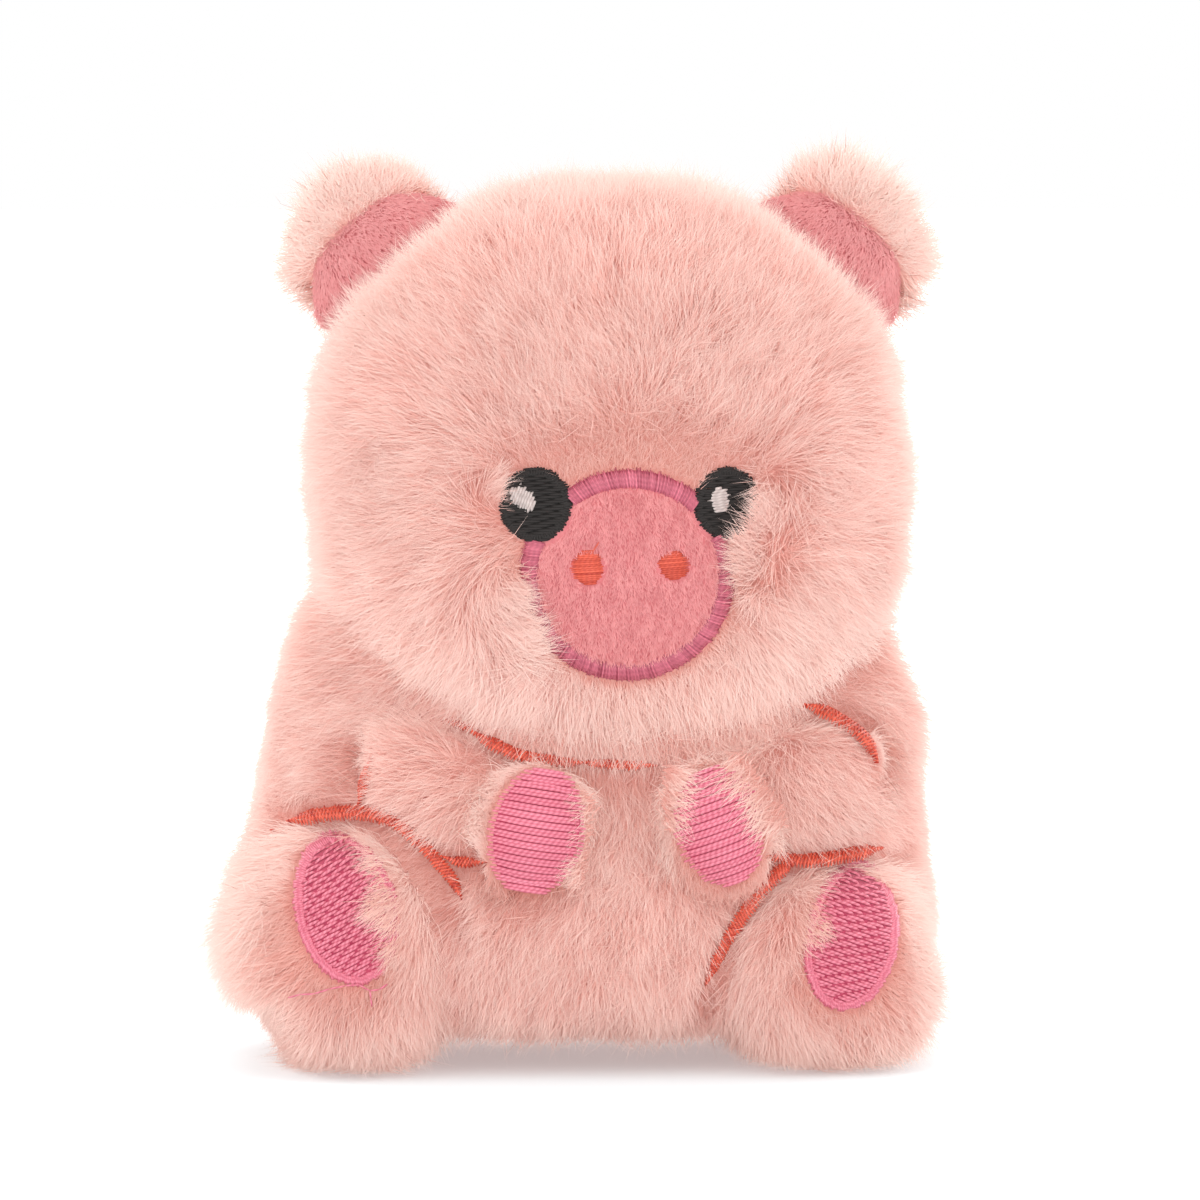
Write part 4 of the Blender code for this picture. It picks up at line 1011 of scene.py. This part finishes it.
class PIG_OT_fur(bpy.types.Operator):
    """Brushed fur over the head, torso, legs and arms"""

    bl_idname = "pig.fur"
    bl_label = "Brushed fur"

    def execute(self, context):
        sizes = context.scene.pig_sizes
        rng = np.random.default_rng(SEED)
        length = sizes.fur_length / MM
        lines = [(path, 0.4, 2.2, 0.35) for name, path in LINES.items() if name != "arm_line_right"]
        chin = [(LINES["chin_line"], 0.6, 3.0, 0.4)]
        face = [(SNOUT, 0.0, 2.2, 0.38), (EYES["right"], 0.0, 2.0, 0.35), (EYES["left"], 0.0, 2.0, 0.35)]
        hands = [(pad, 0.0, 2.2, 0.35) for pad in HAND_PADS.values()]
        fur_on("head_fur", HEAD, "plush", rng, {
            "outlines": face, "lines": chin, "length": length, "lift": (52, 15), "trim": self.head_trim,
            "mown": [(BROW, 0.0, 4.0, 0.32)], "under": 0.27})
        fur_on("torso_fur", TORSO, "plush", rng, {
            "outlines": hands, "lines": lines, "length": length, "lift": (50, 12), "ground": 3.4,
            "others": [HEAD, *LEGS.values(), *ARMS.values(), *HANDS.values()], "trim": self.torso_trim})
        for name, _ in SIDES:
            fur_on("leg_fur_" + name, LEGS[name], "plush", rng, {
                "outlines": [(FOOT_PADS[name], 0.0, 2.2, 0.35)], "lines": lines, "length": length,
                "lift": (48, 12), "others": [TORSO], "trim": self.leg_trim, "under": 0.12})
            fur_on("arm_fur_" + name, ARMS[name], "plush", rng, {
                "outlines": hands, "lines": [(line, 0.4, 4.5, 0.3) for line, *_ in lines], "length": length * 0.95,
                "lift": (46, 10), "others": [TORSO, HEAD, LEGS[name], HANDS[name]]})
            fur_on("hand_fur_" + name, HANDS[name], "plush", rng, {
                "outlines": hands, "lines": lines, "length": length * 0.7,
                "lift": (50, 10), "others": [TORSO, HEAD, LEGS[name], ARMS[name]]})
            self.locks(name, rng)
        return {"FINISHED"}

    @staticmethod
    def locks(name, rng, each=900):
        """Locks over a hand pad: root = first + (last - first) * share + scatter, 1 mm behind the pad's face."""
        sizes = bpy.context.scene.pig_sizes
        parts = []
        for first, last, way, length in LOCKS[name]:
            share = rng.random(each)[:, None]
            flat = np.array(first) * (1 - share) + np.array(last) * share + rng.normal(0, 0.5, (each, 2))
            lean = np.zeros((each, 3))
            lean[:, ::2] = np.array(way) + rng.normal(0, 0.25, (each, 2))
            uneven = 0.8 + 0.4 * np.sin(share[:, 0] * 19.0)
            parts.append((flat, unit(lean), length * rng.uniform(0.45, 1.15, each) * uneven))
        flat, lean, length = (np.concatenate(group) for group in zip(*parts))
        x, z = flat.T
        roots = np.stack([x, hand_level(name)(x, z) + 1.0, z], -1)
        normals = np.zeros_like(roots) + np.array([0.0, -1.0, 0.0])
        lift = (np.radians(52) + rng.normal(0, 0.15, len(x)), np.radians(8) + rng.normal(0, 0.25, len(x)))
        shade = np.clip(0.5 + 0.14 * rng.standard_normal(len(x)), 0.03, 0.97)
        width = sizes.strand_width / MM * rng.uniform(0.7, 1.3, len(x))
        centres, chance = tuft_centres(roots, sizes.tuft / MM, SEED + 4)
        pull = (centres - roots) * np.array([1.0, 0.0, 1.0]) * (sizes.gather * (0.3 + 0.7 * chance))[:, None]
        piece = strand_mesh("hand_locks_" + name, roots, normals, lean, length, lift, width, shade, rng, 3, pull,
                            Finishes.fur(), sizes.curl / MM, 1.0, unit(normals + np.array([0, 0, 0.1])), 0.1)
        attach(piece, "plush")

    @staticmethod
    def head_trim(roots):
        """Shorter fur on the crown and by the ears, and longer locks under the chin."""
        x, y, z = roots.T
        by_ear = 1 - 0.72 * (1 - smoothstep(1.0, 5.0, ear_gap(x, z)))
        sides = 1 - 0.2 * smoothstep(-20, -27, x) * smoothstep(46, 54, z)
        sides = sides - 0.22 * smoothstep(22, 30, x) * smoothstep(58, 66, z)
        chin = 0.1 * smoothstep(42, 34, z) * smoothstep(-8, -16, y)
        return (1 - 0.14 * smoothstep(76, 85, z) + chin) * by_ear * sides

    @staticmethod
    def torso_trim(roots):
        """Shorter fur on the shoulders' sides and on the left flank."""
        x, _, z = roots.T
        shoulders = 1 - 0.5 * smoothstep(-24, -31, x) * smoothstep(18, 28, z)
        return shoulders - 0.45 * smoothstep(25, 31, x) * smoothstep(34, 26, z)

    @staticmethod
    def leg_trim(roots):
        """Longer fur on the right leg's outer side, and shorter below it and on the left one's."""
        x, _, z = roots.T
        high = smoothstep(7.5, 12, z)
        right, left = smoothstep(-26, -31, x), smoothstep(27, 33, x)
        outer = 1 + right * (0.3 * high - 0.6 * (1 - high) * smoothstep(1, 5, z))
        return outer + left * (0.15 * (1 - high) - 0.45 * high)


def face_level(layer):
    """The y of one layer of the face over (x, z)."""
    def level(x, z):
        return HEAD.front_y(x, z, FACE_DEPTH_MM[layer])
    return level


def foot_level(name):
    """The face of a foot's pad: 1.65 mm inside the leg's form, and at least 9.5 mm before its middle."""
    def level(x, z):
        return np.minimum(LEGS[name].front_y(x, z, 1.65), LEGS[name].centre[1] - 9.5)
    return level


def line_level(by):
    """The front of the torso, legs and arms, whichever lies ahead, softened over a millimetre or so."""
    forms = [TORSO, *LEGS.values(), *ARMS.values()]
    shifts = [(dx, dz) for dx in (-1.2, 0, 1.2) for dz in (-1.2, 0, 1.2)]

    def level(x, z):
        ahead = [np.min([form.front_y(x + dx, z + dz, by) for form in forms], axis=0) for dx, dz in shifts]
        return np.mean(ahead, axis=0)
    return level


def dress(piece, body, slot, *nodes):
    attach(piece, body)
    if nodes:
        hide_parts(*nodes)


class PIG_OT_snout(bpy.types.Operator):
    """The velboa snout patch with its satin ring"""

    bl_idname = "pig.snout"
    bl_label = "Snout patch and ring"

    def execute(self, context):
        rng = np.random.default_rng(SEED + 20)
        patch = oval_patch("snout_velboa", SNOUT, face_level("velboa"), Finishes.velboa_cloth(), -RING_WIDTH_MM * 0.75,
                           dome=SNOUT_DOME_MM)
        dress(patch, "plush", "pink_velboa", "snout_patch")
        inner = dict(SNOUT, size=(SNOUT["size"][0] - 2 * RING_WIDTH_MM, SNOUT["size"][1] - 2 * RING_WIDTH_MM))
        count = 15000
        radius, angle = np.sqrt(rng.random(count)), rng.random(count) * 2 * math.pi
        edge = oval_points(inner, angle, 0.25)
        middle = np.array(inner["middle"])
        flat = middle + (edge - middle) * radius[:, None]
        for nostril in NOSTRILS.values():
            outside = oval_gap(nostril, flat[:, 0], flat[:, 1]) > 0.0
            flat, radius = flat[outside], radius[outside]
        for eye in EYES.values():
            outside = oval_gap(eye, flat[:, 0], flat[:, 1]) > 0.3
            flat, radius = flat[outside], radius[outside]
        y = face_level("pile")(flat[:, 0], flat[:, 1]) - SNOUT_DOME_MM * (1 - radius**2)
        roots = np.stack([flat[:, 0], y - 0.1, flat[:, 1]], -1)
        swell = (flat - middle) * 0.02
        normals = unit(np.stack([swell[:, 0], -np.ones(len(flat)), swell[:, 1]], -1))
        wander = lattice_noise(roots, 0.9, SEED + 21, 3) * 0.35
        way = unit(np.array([0.05, 0, -1.0]) + rng.normal(0, 0.35, roots.shape) + wander)
        lean = unit(way - (way * normals).sum(1)[:, None] * normals)
        streak = lattice_noise(roots * np.array([1, 1, 0.35]), 0.45, SEED + 22)[:, 0]
        shade = np.clip(0.5 + 0.2 * streak + 0.1 * rng.standard_normal(len(roots)), 0.03, 0.97)
        length = 0.65 * rng.uniform(0.75, 1.15, len(roots)) * (1 + 0.1 * streak)
        lift = (np.full(len(roots), 0.75), np.full(len(roots), 0.3))
        pile = strand_mesh("snout_pile", roots, normals, lean, length, lift, np.full(len(roots), 0.11), shade, rng, 2,
                           None, Finishes.velboa(), 0.0, 0.7, None, 0.16 + 0.14 * streak)
        dress(pile, "plush", "pink_velboa")
        # A dark sheet under the ring: painted shade between its stitches.
        ring_shadow = oval_patch("ring_shadow_sheet", SNOUT, face_level("ring_shadow_sheet"), Finishes.stitch_shadow_sheet(), -0.15)
        dress(ring_shadow, "plush", "pink_thread")
        starts, ends = radial_stitches(SNOUT, -RING_WIDTH_MM, 0.05, 0.17, rng, 0.19, lean=0.03)
        clear = np.ones(len(starts), bool)
        for eye in EYES.values():
            middle = (starts + ends) / 2
            clear &= oval_gap(eye, middle[:, 0], middle[:, 1]) > -0.2
        ring = thread_mesh("snout_ring", starts[clear], ends[clear], face_level("ring"), 0.1, Finishes.ring_thread(),
                           rng, rise=2.8, pitch=0.5, gap_shade=0.1)
        dress(ring, "plush", "pink_thread", "snout_border_lower", "snout_border_upper")
        return {"FINISHED"}


class PIG_OT_eyes(bpy.types.Operator):
    """Black satin eyes with white highlights"""

    bl_idname = "pig.eyes"
    bl_label = "Eyes"

    def execute(self, context):
        rng = np.random.default_rng(SEED + 30)
        for name, _ in SIDES:
            eye = EYES[name]
            base = oval_patch("eye_base_" + name, eye, face_level("eye_base"), Finishes.black_thread(), -0.25)
            dress(base, "plush", "black_thread")
            starts, ends = rows_in_oval(eye, 0.04, 0.23, rng, 2.8, 0.16)
            edge_in, edge_out = radial_stitches(eye, -0.9, 0.02, 0.3, rng, 0.18)
            threads = thread_mesh("eye_threads_" + name, np.concatenate([starts, edge_in]),
                                  np.concatenate([ends, edge_out]), face_level("eye"), 0.14,
                                  Finishes.black_thread(), rng)
            dress(threads, "plush", "black_thread", "eye_" + name)
            glint = GLINTS[name]
            slant = 1.2 if name == "right" else 0.15
            starts, ends = rows_in_oval(glint, slant, 0.27, rng, None, 0.15)
            shine = thread_mesh("eye_highlight_" + name, starts, ends, face_level("glint"), 0.16,
                                Finishes.white_thread(), rng)
            dress(shine, "plush", "white_thread", "eye_glint_" + name)
        return {"FINISHED"}


class PIG_OT_nostrils(bpy.types.Operator):
    """Coral satin nostrils"""

    bl_idname = "pig.nostrils"
    bl_label = "Nostrils"

    def execute(self, context):
        rng = np.random.default_rng(SEED + 40)
        for name, _ in SIDES:
            shape = NOSTRILS[name]
            starts, ends = rows_in_oval(shape, 0.06, 0.2, rng, None, 0.18)
            piece = thread_mesh("nostril_threads_" + name, starts, ends, face_level("nostril"), 0.12,
                                Finishes.coral_thread(), rng, pitch=0.5, gap_shade=0.08)
            dress(piece, "plush", "coral_thread", "nostril_" + name)
        return {"FINISHED"}


class PIG_OT_pads(bpy.types.Operator):
    """Pink satin pads on the hands and feet"""

    bl_idname = "pig.pads"
    bl_label = "Hand and foot pads"

    def execute(self, context):
        rng = np.random.default_rng(SEED + 50)
        for name, _ in SIDES:
            hand = HAND_PADS[name]
            # A dark sheet under the hand pad: painted shade between its rows of stitches.
            base = oval_patch("hand_pad_shadow_sheet_" + name, hand, hand_level(name), Finishes.stitch_shadow_sheet(), -0.5)
            dress(base, "plush", "pink_thread")
            slant = -0.16 if name == "right" else 0.36
            starts, ends = rows_in_oval(hand, slant, 0.36, rng, None, 0.22, 0.03)
            threads = thread_mesh("hand_pad_threads_" + name, starts, ends, hand_level(name), 0.2,
                                  Finishes.pink_thread(), rng, stations=10, pitch=0.55)
            dress(threads, "plush", "pink_thread", "hand_pad_" + name)
            foot = FOOT_PADS[name]
            # A dark sheet under the foot pad: painted shade between its rows of stitches.
            base = oval_patch("foot_pad_shadow_sheet_" + name, foot, foot_level(name), Finishes.stitch_shadow_sheet(), -0.5)
            dress(base, "plush", "pink_thread")
            slant = 0.5 if name == "right" else -0.33
            inner = dict(foot, size=(foot["size"][0] - 1.6, foot["size"][1] - 1.6))
            starts, ends = rows_in_oval(inner, slant, 0.31, rng, 2.1, 0.1, 0.02)
            edge_in, edge_out = radial_stitches(foot, -1.0, 0.0, 0.24, rng, 0.2, lean=0.04)
            threads = thread_mesh("foot_pad_threads_" + name, np.concatenate([starts, edge_in]),
                                  np.concatenate([ends, edge_out]), foot_level(name), 0.155,
                                  Finishes.pink_thread(), rng, pitch=0.5)
            dress(threads, "plush", "pink_thread", "foot_pad_" + name)
        return {"FINISHED"}


class PIG_OT_strays(bpy.types.Operator):
    """A loose pink thread under the right foot pad, the coral thread's end at a nostril, and a red speck of lint"""

    bl_idname = "pig.strays"
    bl_label = "Loose threads"

    def execute(self, context):
        rng = np.random.default_rng(SEED + 90)

        def leg_level(x, z):
            return LEGS["right"].front_y(x, z, -0.5)

        def side_level(x, z):
            return TORSO.front_y(x, z, -0.6)

        loose = np.array([(-30.4, 8.5), (-29.2, 8.9), (-27.9, 9.0), (-26.4, 9.5), (-24.9, 9.8), (-23.6, 9.9),
                          (-22.5, 9.3), (-21.6, 9.4), (-20.8, 9.9)])
        fallen = np.array([(-22.5, 9.3), (-22.4, 8.5), (-22.3, 7.7)])
        starts, ends = np.concatenate([loose[:-1], fallen[:-1]]), np.concatenate([loose[1:], fallen[1:]])
        for name, first, last, level, radius, material, slot in (
            ("loose_thread", starts, ends, leg_level, 0.09, Finishes.pink_thread(), "pink_thread"),
            ("nostril_thread_end", [(-0.9, 51.6)], [(-0.2, 52.7)], face_level("thread_end"), 0.07,
             Finishes.coral_thread(), "coral_thread"),
            ("lint", [(-31.8, 23.5)], [(-31.4, 23.7)], side_level, 0.14, Finishes.coral_thread(), "coral_thread"),
        ):
            piece = thread_mesh(name, first, last, level, radius, material, rng, sink=0.02)
            dress(piece, "plush", slot)
        return {"FINISHED"}


class PIG_OT_lines(bpy.types.Operator):
    """Coral zig-zag outline stitches"""

    bl_idname = "pig.lines"
    bl_label = "Outline stitches"

    def execute(self, context):
        rng = np.random.default_rng(SEED + 60)
        stands_for = {
            "chin_line": ("chin_stitch",), "side_line": ("shoulder_stitch_right",),
            "leg_line_right": ("leg_stitch_right",), "elbow_line_right": ("elbow_stitch",),
            "leg_line_left": ("leg_stitch_left",), "shoulder_line_left": ("shoulder_stitch_left",),
        }
        for name, path in LINES.items():
            starts, ends = line_stitches(path, 1.0 if name in NARROW_LINES else 1.25, 0.17, rng)
            level = line_level(NARROW_LINES.get(name, LINE_DEPTH_MM))
            piece = thread_mesh(name, starts, ends, level, 0.125, Finishes.coral_thread(), rng, sink=0.35, gap_shade=0.2)
            dress(piece, "plush", "coral_thread", *stands_for.get(name, ()))
        return {"FINISHED"}


def ear_basis(side):
    """The ear's base line, its height and its front, and the middle of its base."""
    along = np.array([math.cos(EAR_TURN), 0, -side * math.sin(EAR_TURN)])
    height = np.array([side * math.sin(EAR_TURN), 0, math.cos(EAR_TURN)])
    joint = next(j for j in frame["joints"] if j["child"] == ("ear_left" if side > 0 else "ear_right"))
    return along, height, np.array([0, -1.0, 0]), np.array(joint["pos_m"]) / MM


class PIG_OT_ears(bpy.types.Operator):
    """Furry ear backs with velboa linings, on the bodies that bend"""

    bl_idname = "pig.ears"
    bl_label = "Ears"

    def execute(self, context):
        rng = np.random.default_rng(SEED + 70)
        form = Form((0, 0, 0), 9.3, 3.0, 3.0, 10.4, 3.0, (2.3, 2.0, 2.0, 2.0))
        for name, side in SIDES:
            body = "ear_" + name
            along, height, front, base = ear_basis(side)

            def place(points):
                return base + points[..., :1] * along - points[..., 1:2] * front + points[..., 2:] * height

            grid = form.grid(48, 72) * EAR_CORE
            cover = grid_mesh("ear_cover_" + name, place(grid), Finishes.ear_skin())
            dress(cover, body, "peach_fur", f"ear_{name}_back")
            lining = self.front_half(form.grid(60, 90), 1.0)
            roots, normals = scatter(lining, 34000, rng)
            inside = roots[:, 1] < -0.3
            roots, normals = roots[inside][:10000], normals[inside][:10000]
            way = unit(np.array([0.1, 0, -1.0]) + rng.normal(0, 0.28, roots.shape))
            lean = unit(way - (way * normals).sum(1)[:, None] * normals)
            streak = lattice_noise(roots, 0.8, SEED + 71)[:, 0]
            # Paler towards the top of the lining and darker down in its fold: a painted highlight above and painted
            # shade below.
            rise = smoothstep(-2, 4.0, roots[:, 2])
            shade = np.clip(0.5 + 0.1 * rng.standard_normal(len(roots)), 0.03, 0.97)
            length = 0.9 * rng.uniform(0.7, 1.2, len(roots))
            lift = (np.full(len(roots), 0.8), np.full(len(roots), 0.25))
            lit = unit(normals * 0.6 + np.array([0, -1.0, 0.2]))
            turned = [self.turned(vectors, along, front, height) for vectors in (normals, lean, lit)]
            pile = strand_mesh("ear_velboa_" + name, place(roots), turned[0], turned[1], length, lift,
                               np.full(len(roots), 0.12), shade, rng, 2, None, Finishes.velboa(), 0.0, 0.6, turned[2],
                               0.22 + 0.35 * rise + 0.12 * streak)
            dress(pile, body, "pink_velboa")
            patch = self.front_half(form.grid(40, 60), 0.97)
            cloth = grid_mesh("ear_lining_cloth_" + name, place(patch), Finishes.velboa_cloth())
            dress(cloth, body, "pink_velboa", f"ear_{name}_lining")
            skin = form.grid(60, 90) * EAR_CORE
            roots, normals = scatter(skin, 26000, rng)
            span = np.abs(roots[:, 0]) / 8.6
            lined = (roots[:, 1] < 0.1) & (roots[:, 2] < 4.7 * np.sqrt(np.maximum(1 - span**2, 0)))
            keep = ~lined & (roots[:, 2] > -1.5)
            roots, normals = roots[keep], normals[keep]
            way = roots * np.array([1.1, 0.0, 1.0]) + np.array([0, 0, 0.8])
            outer = smoothstep(3.5, 7.5, side * roots[:, 0])
            way = unit(unit(way) + rng.normal(0, 0.4, roots.shape) + lattice_noise(roots, 1.4, SEED + 72, 3) * 0.6)
            outward = (way * normals).sum(1)
            lean = unit(way - outward[:, None] * normals)
            edge = smoothstep(3.0, 8.5, np.hypot(roots[:, 0] * 0.9, roots[:, 2]))
            length = (2.0 + (2.0 + 0.4 * side) * edge + 1.6 * outer) * rng.uniform(0.35, 1.1, len(roots))
            tip = np.array([0.0, 1.0]) if side < 0 else np.array([-0.5, 0.87])
            crest = smoothstep(0.82, 1.0, roots[:, ::2] @ tip / np.hypot(roots[:, 0], roots[:, 2])) * edge
            length += 2.4 * crest * rng.random(len(roots)) ** 1.5
            start = np.radians(45) + np.maximum(outward, 0) * 0.4 + rng.normal(0, 0.2, len(roots))
            end = np.radians(18) + np.maximum(outward, 0) * 0.8 + rng.normal(0, 0.35, len(roots))
            shade = np.clip(0.5 + 0.18 * rng.standard_normal(len(roots)), 0.03, 0.97)
            away = unit(np.stack([roots[:, 0], np.zeros(len(roots)), roots[:, 2]], -1)) * (0.15 + 0.45 * edge)[:, None]
            lit = unit(normals * np.array([0, 0.5, 0]) + away + np.array([0, -0.45, 0.1]))
            turned = [self.turned(vectors, along, front, height) for vectors in (normals, lean, lit)]
            # Paler towards the rim by edge: a painted halo of light at the ear's edge.
            fur = strand_mesh("ear_fur_" + name, place(roots), turned[0], turned[1], length, (start, end),
                              np.full(len(roots), 0.085), shade, rng, 3, None, Finishes.ear_fur(), 0.6, 1.0, turned[2],
                              0.25 * edge)
            dress(fur, body, "peach_fur")
        return {"FINISHED"}

    @staticmethod
    def turned(vectors, along, front, height):
        return vectors[..., :1] * along - vectors[..., 1:2] * front + vectors[..., 2:] * height

    @staticmethod
    def front_half(grid, share):
        """The ear's form drawn in to the lined part of its front: sunk into the ear behind, let down to the head, and
        pinched at both ends."""
        shrunk = grid * np.array([0.95 * share, 1.3, 0.64 * share])
        pinch = 1 - 0.45 * smoothstep(4.0, 9.0, np.abs(shrunk[..., 0]))
        shrunk[..., 1:] *= pinch[..., None]
        shrunk[..., 1] = np.where(shrunk[..., 1] > 0, shrunk[..., 1] * 0.1, shrunk[..., 1] * share)
        return shrunk - np.array([0, 0, 1.1])


class PIG_OT_tail(bpy.types.Operator):
    """The curled velboa tail"""

    bl_idname = "pig.tail"
    bl_label = "Tail"

    def execute(self, context):
        rng = np.random.default_rng(SEED + 80)
        share = np.linspace(0, 1, 90)
        run_out = np.minimum(1.0, share / 0.25)
        angle = 2 * math.pi * 1.25 * share
        path = np.stack([2.7 * run_out * np.sin(angle), 2.6 * run_out + 6.5 * share,
                         2.7 * run_out * (1 - np.cos(angle))], -1)
        path += np.array([0, SEAM_Y_MM + 19.0 + 0.6, 15.0])
        for _ in range(12):
            path[1:-1] = (path[:-2] + path[1:-1] * 2 + path[2:]) / 4
        radius = (2.0 - 1.0 * share) * np.sqrt(np.clip((1.0 - share) * 14, 0, 1)) * 0.8
        radius[-1] = 0.0
        along = unit(np.gradient(path, axis=0))
        side = unit(np.cross(along, UP))
        over = unit(np.cross(along, side))
        around = np.linspace(0, 2 * math.pi, 33)
        ring = side[:, None] * np.cos(around)[None, :, None] + over[:, None] * np.sin(around)[None, :, None]
        grid = path[:, None] + ring * radius[:, None, None]
        grid[0] = path[0]
        piece = grid_mesh("tail_tube", grid, Finishes.velboa_cloth())
        dress(piece, "tail", "pink_velboa", "tail")
        roots, normals = scatter(grid, 9000, rng)
        way = unit(np.array([0.0, 1.0, 0.2]) + rng.normal(0, 0.4, roots.shape))
        lean = unit(way - (way * normals).sum(1)[:, None] * normals)
        shade = np.clip(0.5 + 0.25 * rng.standard_normal(len(roots)), 0.03, 0.97)
        lift = (np.full(len(roots), 1.0), np.full(len(roots), 0.4))
        length, width = np.full(len(roots), 0.7), np.full(len(roots), 0.12)
        pile = strand_mesh("tail_pile", roots, normals, lean, length, lift, width, shade, rng, 2, None,
                           Finishes.velboa())
        dress(pile, "tail", "pink_velboa")
        return {"FINISHED"}


class PIG_OT_stage(bpy.types.Operator):
    """A plain pale floor, soft studio light and the camera"""

    bl_idname = "pig.stage"
    bl_label = "Floor, light and camera"

    def execute(self, context):
        scene = context.scene
        scene.view_settings.view_transform = "Standard"
        mesh = bpy.data.meshes.new("floor")
        reach = 4.0
        corners = [(-reach, -reach, 0), (reach, -reach, 0), (reach, reach, 0), (-reach, reach, 0)]
        mesh.from_pydata(corners, [], [(0, 1, 2, 3)])
        floor = bpy.data.objects.new("floor", mesh)
        scene.collection.objects.link(floor)
        floor.data.materials.append(self.floor_material())
        self.world()
        for name, place, size, power in (
            ("front", (-0.03, -1.2, 0.02), 0.5, 7.7),
            ("key", (-0.7, -1.5, 0.9), 1.2, 2.6),
            ("fill", (1.1, -1.5, 0.5), 1.4, 3.1),
            ("top", (0.0, 0.2, 1.8), 1.6, 4.6),
            ("side_right", (-1.4, -0.3, 0.3), 1.0, 5.0),
            ("side_left", (1.4, -0.3, 0.3), 1.0, 5.0),
            ("back_right", (-1.1, 1.1, 0.7), 1.2, 10.0),
            ("back_left", (1.1, 1.1, 0.7), 1.2, 10.0),
        ):
            data = bpy.data.lights.new(name, "AREA")
            data.shape = "DISK"
            data.size = size
            data.energy = power
            lamp = bpy.data.objects.new(name, data)
            lamp.location = place
            lamp.rotation_euler = (Vector((0, 0, 0.045)) - Vector(place)).to_track_quat("-Z", "Y").to_euler()
            scene.collection.objects.link(lamp)
        self.camera(scene)
        return {"FINISHED"}

    @staticmethod
    def floor_material():
        material, shader = new_material("pale floor", 0.9, 0.0, 0.0)
        shader.inputs["Base Color"].default_value = (0.76, 0.85, 0.87, 1)
        nodes, links = material.node_tree.nodes, material.node_tree.links
        path = nodes.new("ShaderNodeLightPath")
        place = nodes.new("ShaderNodeTexCoord")
        reach = nodes.new("ShaderNodeVectorMath")
        reach.operation = "LENGTH"
        links.new(place.outputs["Object"], reach.inputs[0])
        rise = nodes.new("ShaderNodeMapRange")
        rise.interpolation_type = "SMOOTHSTEP"
        for label, value in (("From Min", 0.05), ("From Max", 0.22), ("To Min", 0.32), ("To Max", 1.0)):
            rise.inputs[label].default_value = value
        links.new(reach.outputs["Value"], rise.inputs["Value"])
        glow = nodes.new("ShaderNodeMath")
        glow.operation = "MULTIPLY"
        links.new(path.outputs["Is Camera Ray"], glow.inputs[0])
        links.new(rise.outputs["Result"], glow.inputs[1])
        shader.inputs["Emission Color"].default_value = (1, 1, 1, 1)
        links.new(glow.outputs[0], shader.inputs["Emission Strength"])
        return material

    @staticmethod
    def world():
        world = bpy.data.worlds.new("studio")
        bpy.context.scene.world = world
        world.use_nodes = True
        nodes, links = world.node_tree.nodes, world.node_tree.links
        background = nodes["Background"]
        background.inputs["Color"].default_value = (1, 1, 1, 1)
        path = nodes.new("ShaderNodeLightPath")
        seen = nodes.new("ShaderNodeMath")
        seen.operation = "MAXIMUM"
        links.new(path.outputs["Is Camera Ray"], seen.inputs[0])
        links.new(path.outputs["Is Glossy Ray"], seen.inputs[1])
        also = nodes.new("ShaderNodeMath")
        also.operation = "MAXIMUM"
        links.new(seen.outputs[0], also.inputs[0])
        links.new(path.outputs["Is Transmission Ray"], also.inputs[1])
        level = nodes.new("ShaderNodeMapRange")
        level.inputs["To Min"].default_value = 0.82
        level.inputs["To Max"].default_value = 1.0
        links.new(also.outputs[0], level.inputs["Value"])
        links.new(level.outputs["Result"], background.inputs["Strength"])

    @staticmethod
    def camera(scene):
        yaw, rise, distance = math.radians(3.5), math.radians(4.0), 0.8
        aim = Vector((0.00144, 0.0, 0.0453))
        back = Vector((-math.sin(yaw) * math.cos(rise), -math.cos(yaw) * math.cos(rise), math.sin(rise)))
        data = bpy.data.cameras.new("camera")
        data.lens = 240.0
        data.sensor_width = 36.0
        data.clip_start = 0.01
        camera = bpy.data.objects.new("camera", data)
        camera.location = aim + back * distance
        camera.rotation_euler = (-back).to_track_quat("-Z", "Y").to_euler()
        scene.collection.objects.link(camera)
        scene.camera = camera


class PIG_PT_panel(bpy.types.Panel):
    """The pig's pieces, in the order they are made"""

    bl_label = "Plush pig"
    bl_idname = "PIG_PT_panel"
    bl_space_type = "VIEW_3D"
    bl_region_type = "UI"
    bl_category = "Plush pig"

    def draw(self, context):
        layout = self.layout
        for group in (context.scene.pig_sizes, context.scene.pig_colours):
            for key in group.bl_rna.properties.keys():
                if key not in ("rna_type", "name"):
                    layout.prop(group, key)
        for operator in OPERATORS:
            layout.operator(operator.bl_idname)


OPERATORS = (PIG_OT_cover, PIG_OT_fur, PIG_OT_snout, PIG_OT_eyes, PIG_OT_nostrils, PIG_OT_pads, PIG_OT_lines,
             PIG_OT_strays, PIG_OT_ears, PIG_OT_tail, PIG_OT_stage)
CLASSES = (PigSizes, PigColours, *OPERATORS, PIG_PT_panel)


def register():
    for item in CLASSES:
        bpy.utils.register_class(item)
    bpy.types.Scene.pig_sizes = bpy.props.PointerProperty(type=PigSizes)
    bpy.types.Scene.pig_colours = bpy.props.PointerProperty(type=PigColours)


def unregister():
    del bpy.types.Scene.pig_colours
    del bpy.types.Scene.pig_sizes
    for item in reversed(CLASSES):
        bpy.utils.unregister_class(item)


def main():
    register()
    for operator in OPERATORS:
        getattr(bpy.ops.pig, operator.bl_idname.split(".")[1])()


if __name__ == "__main__":
    main()
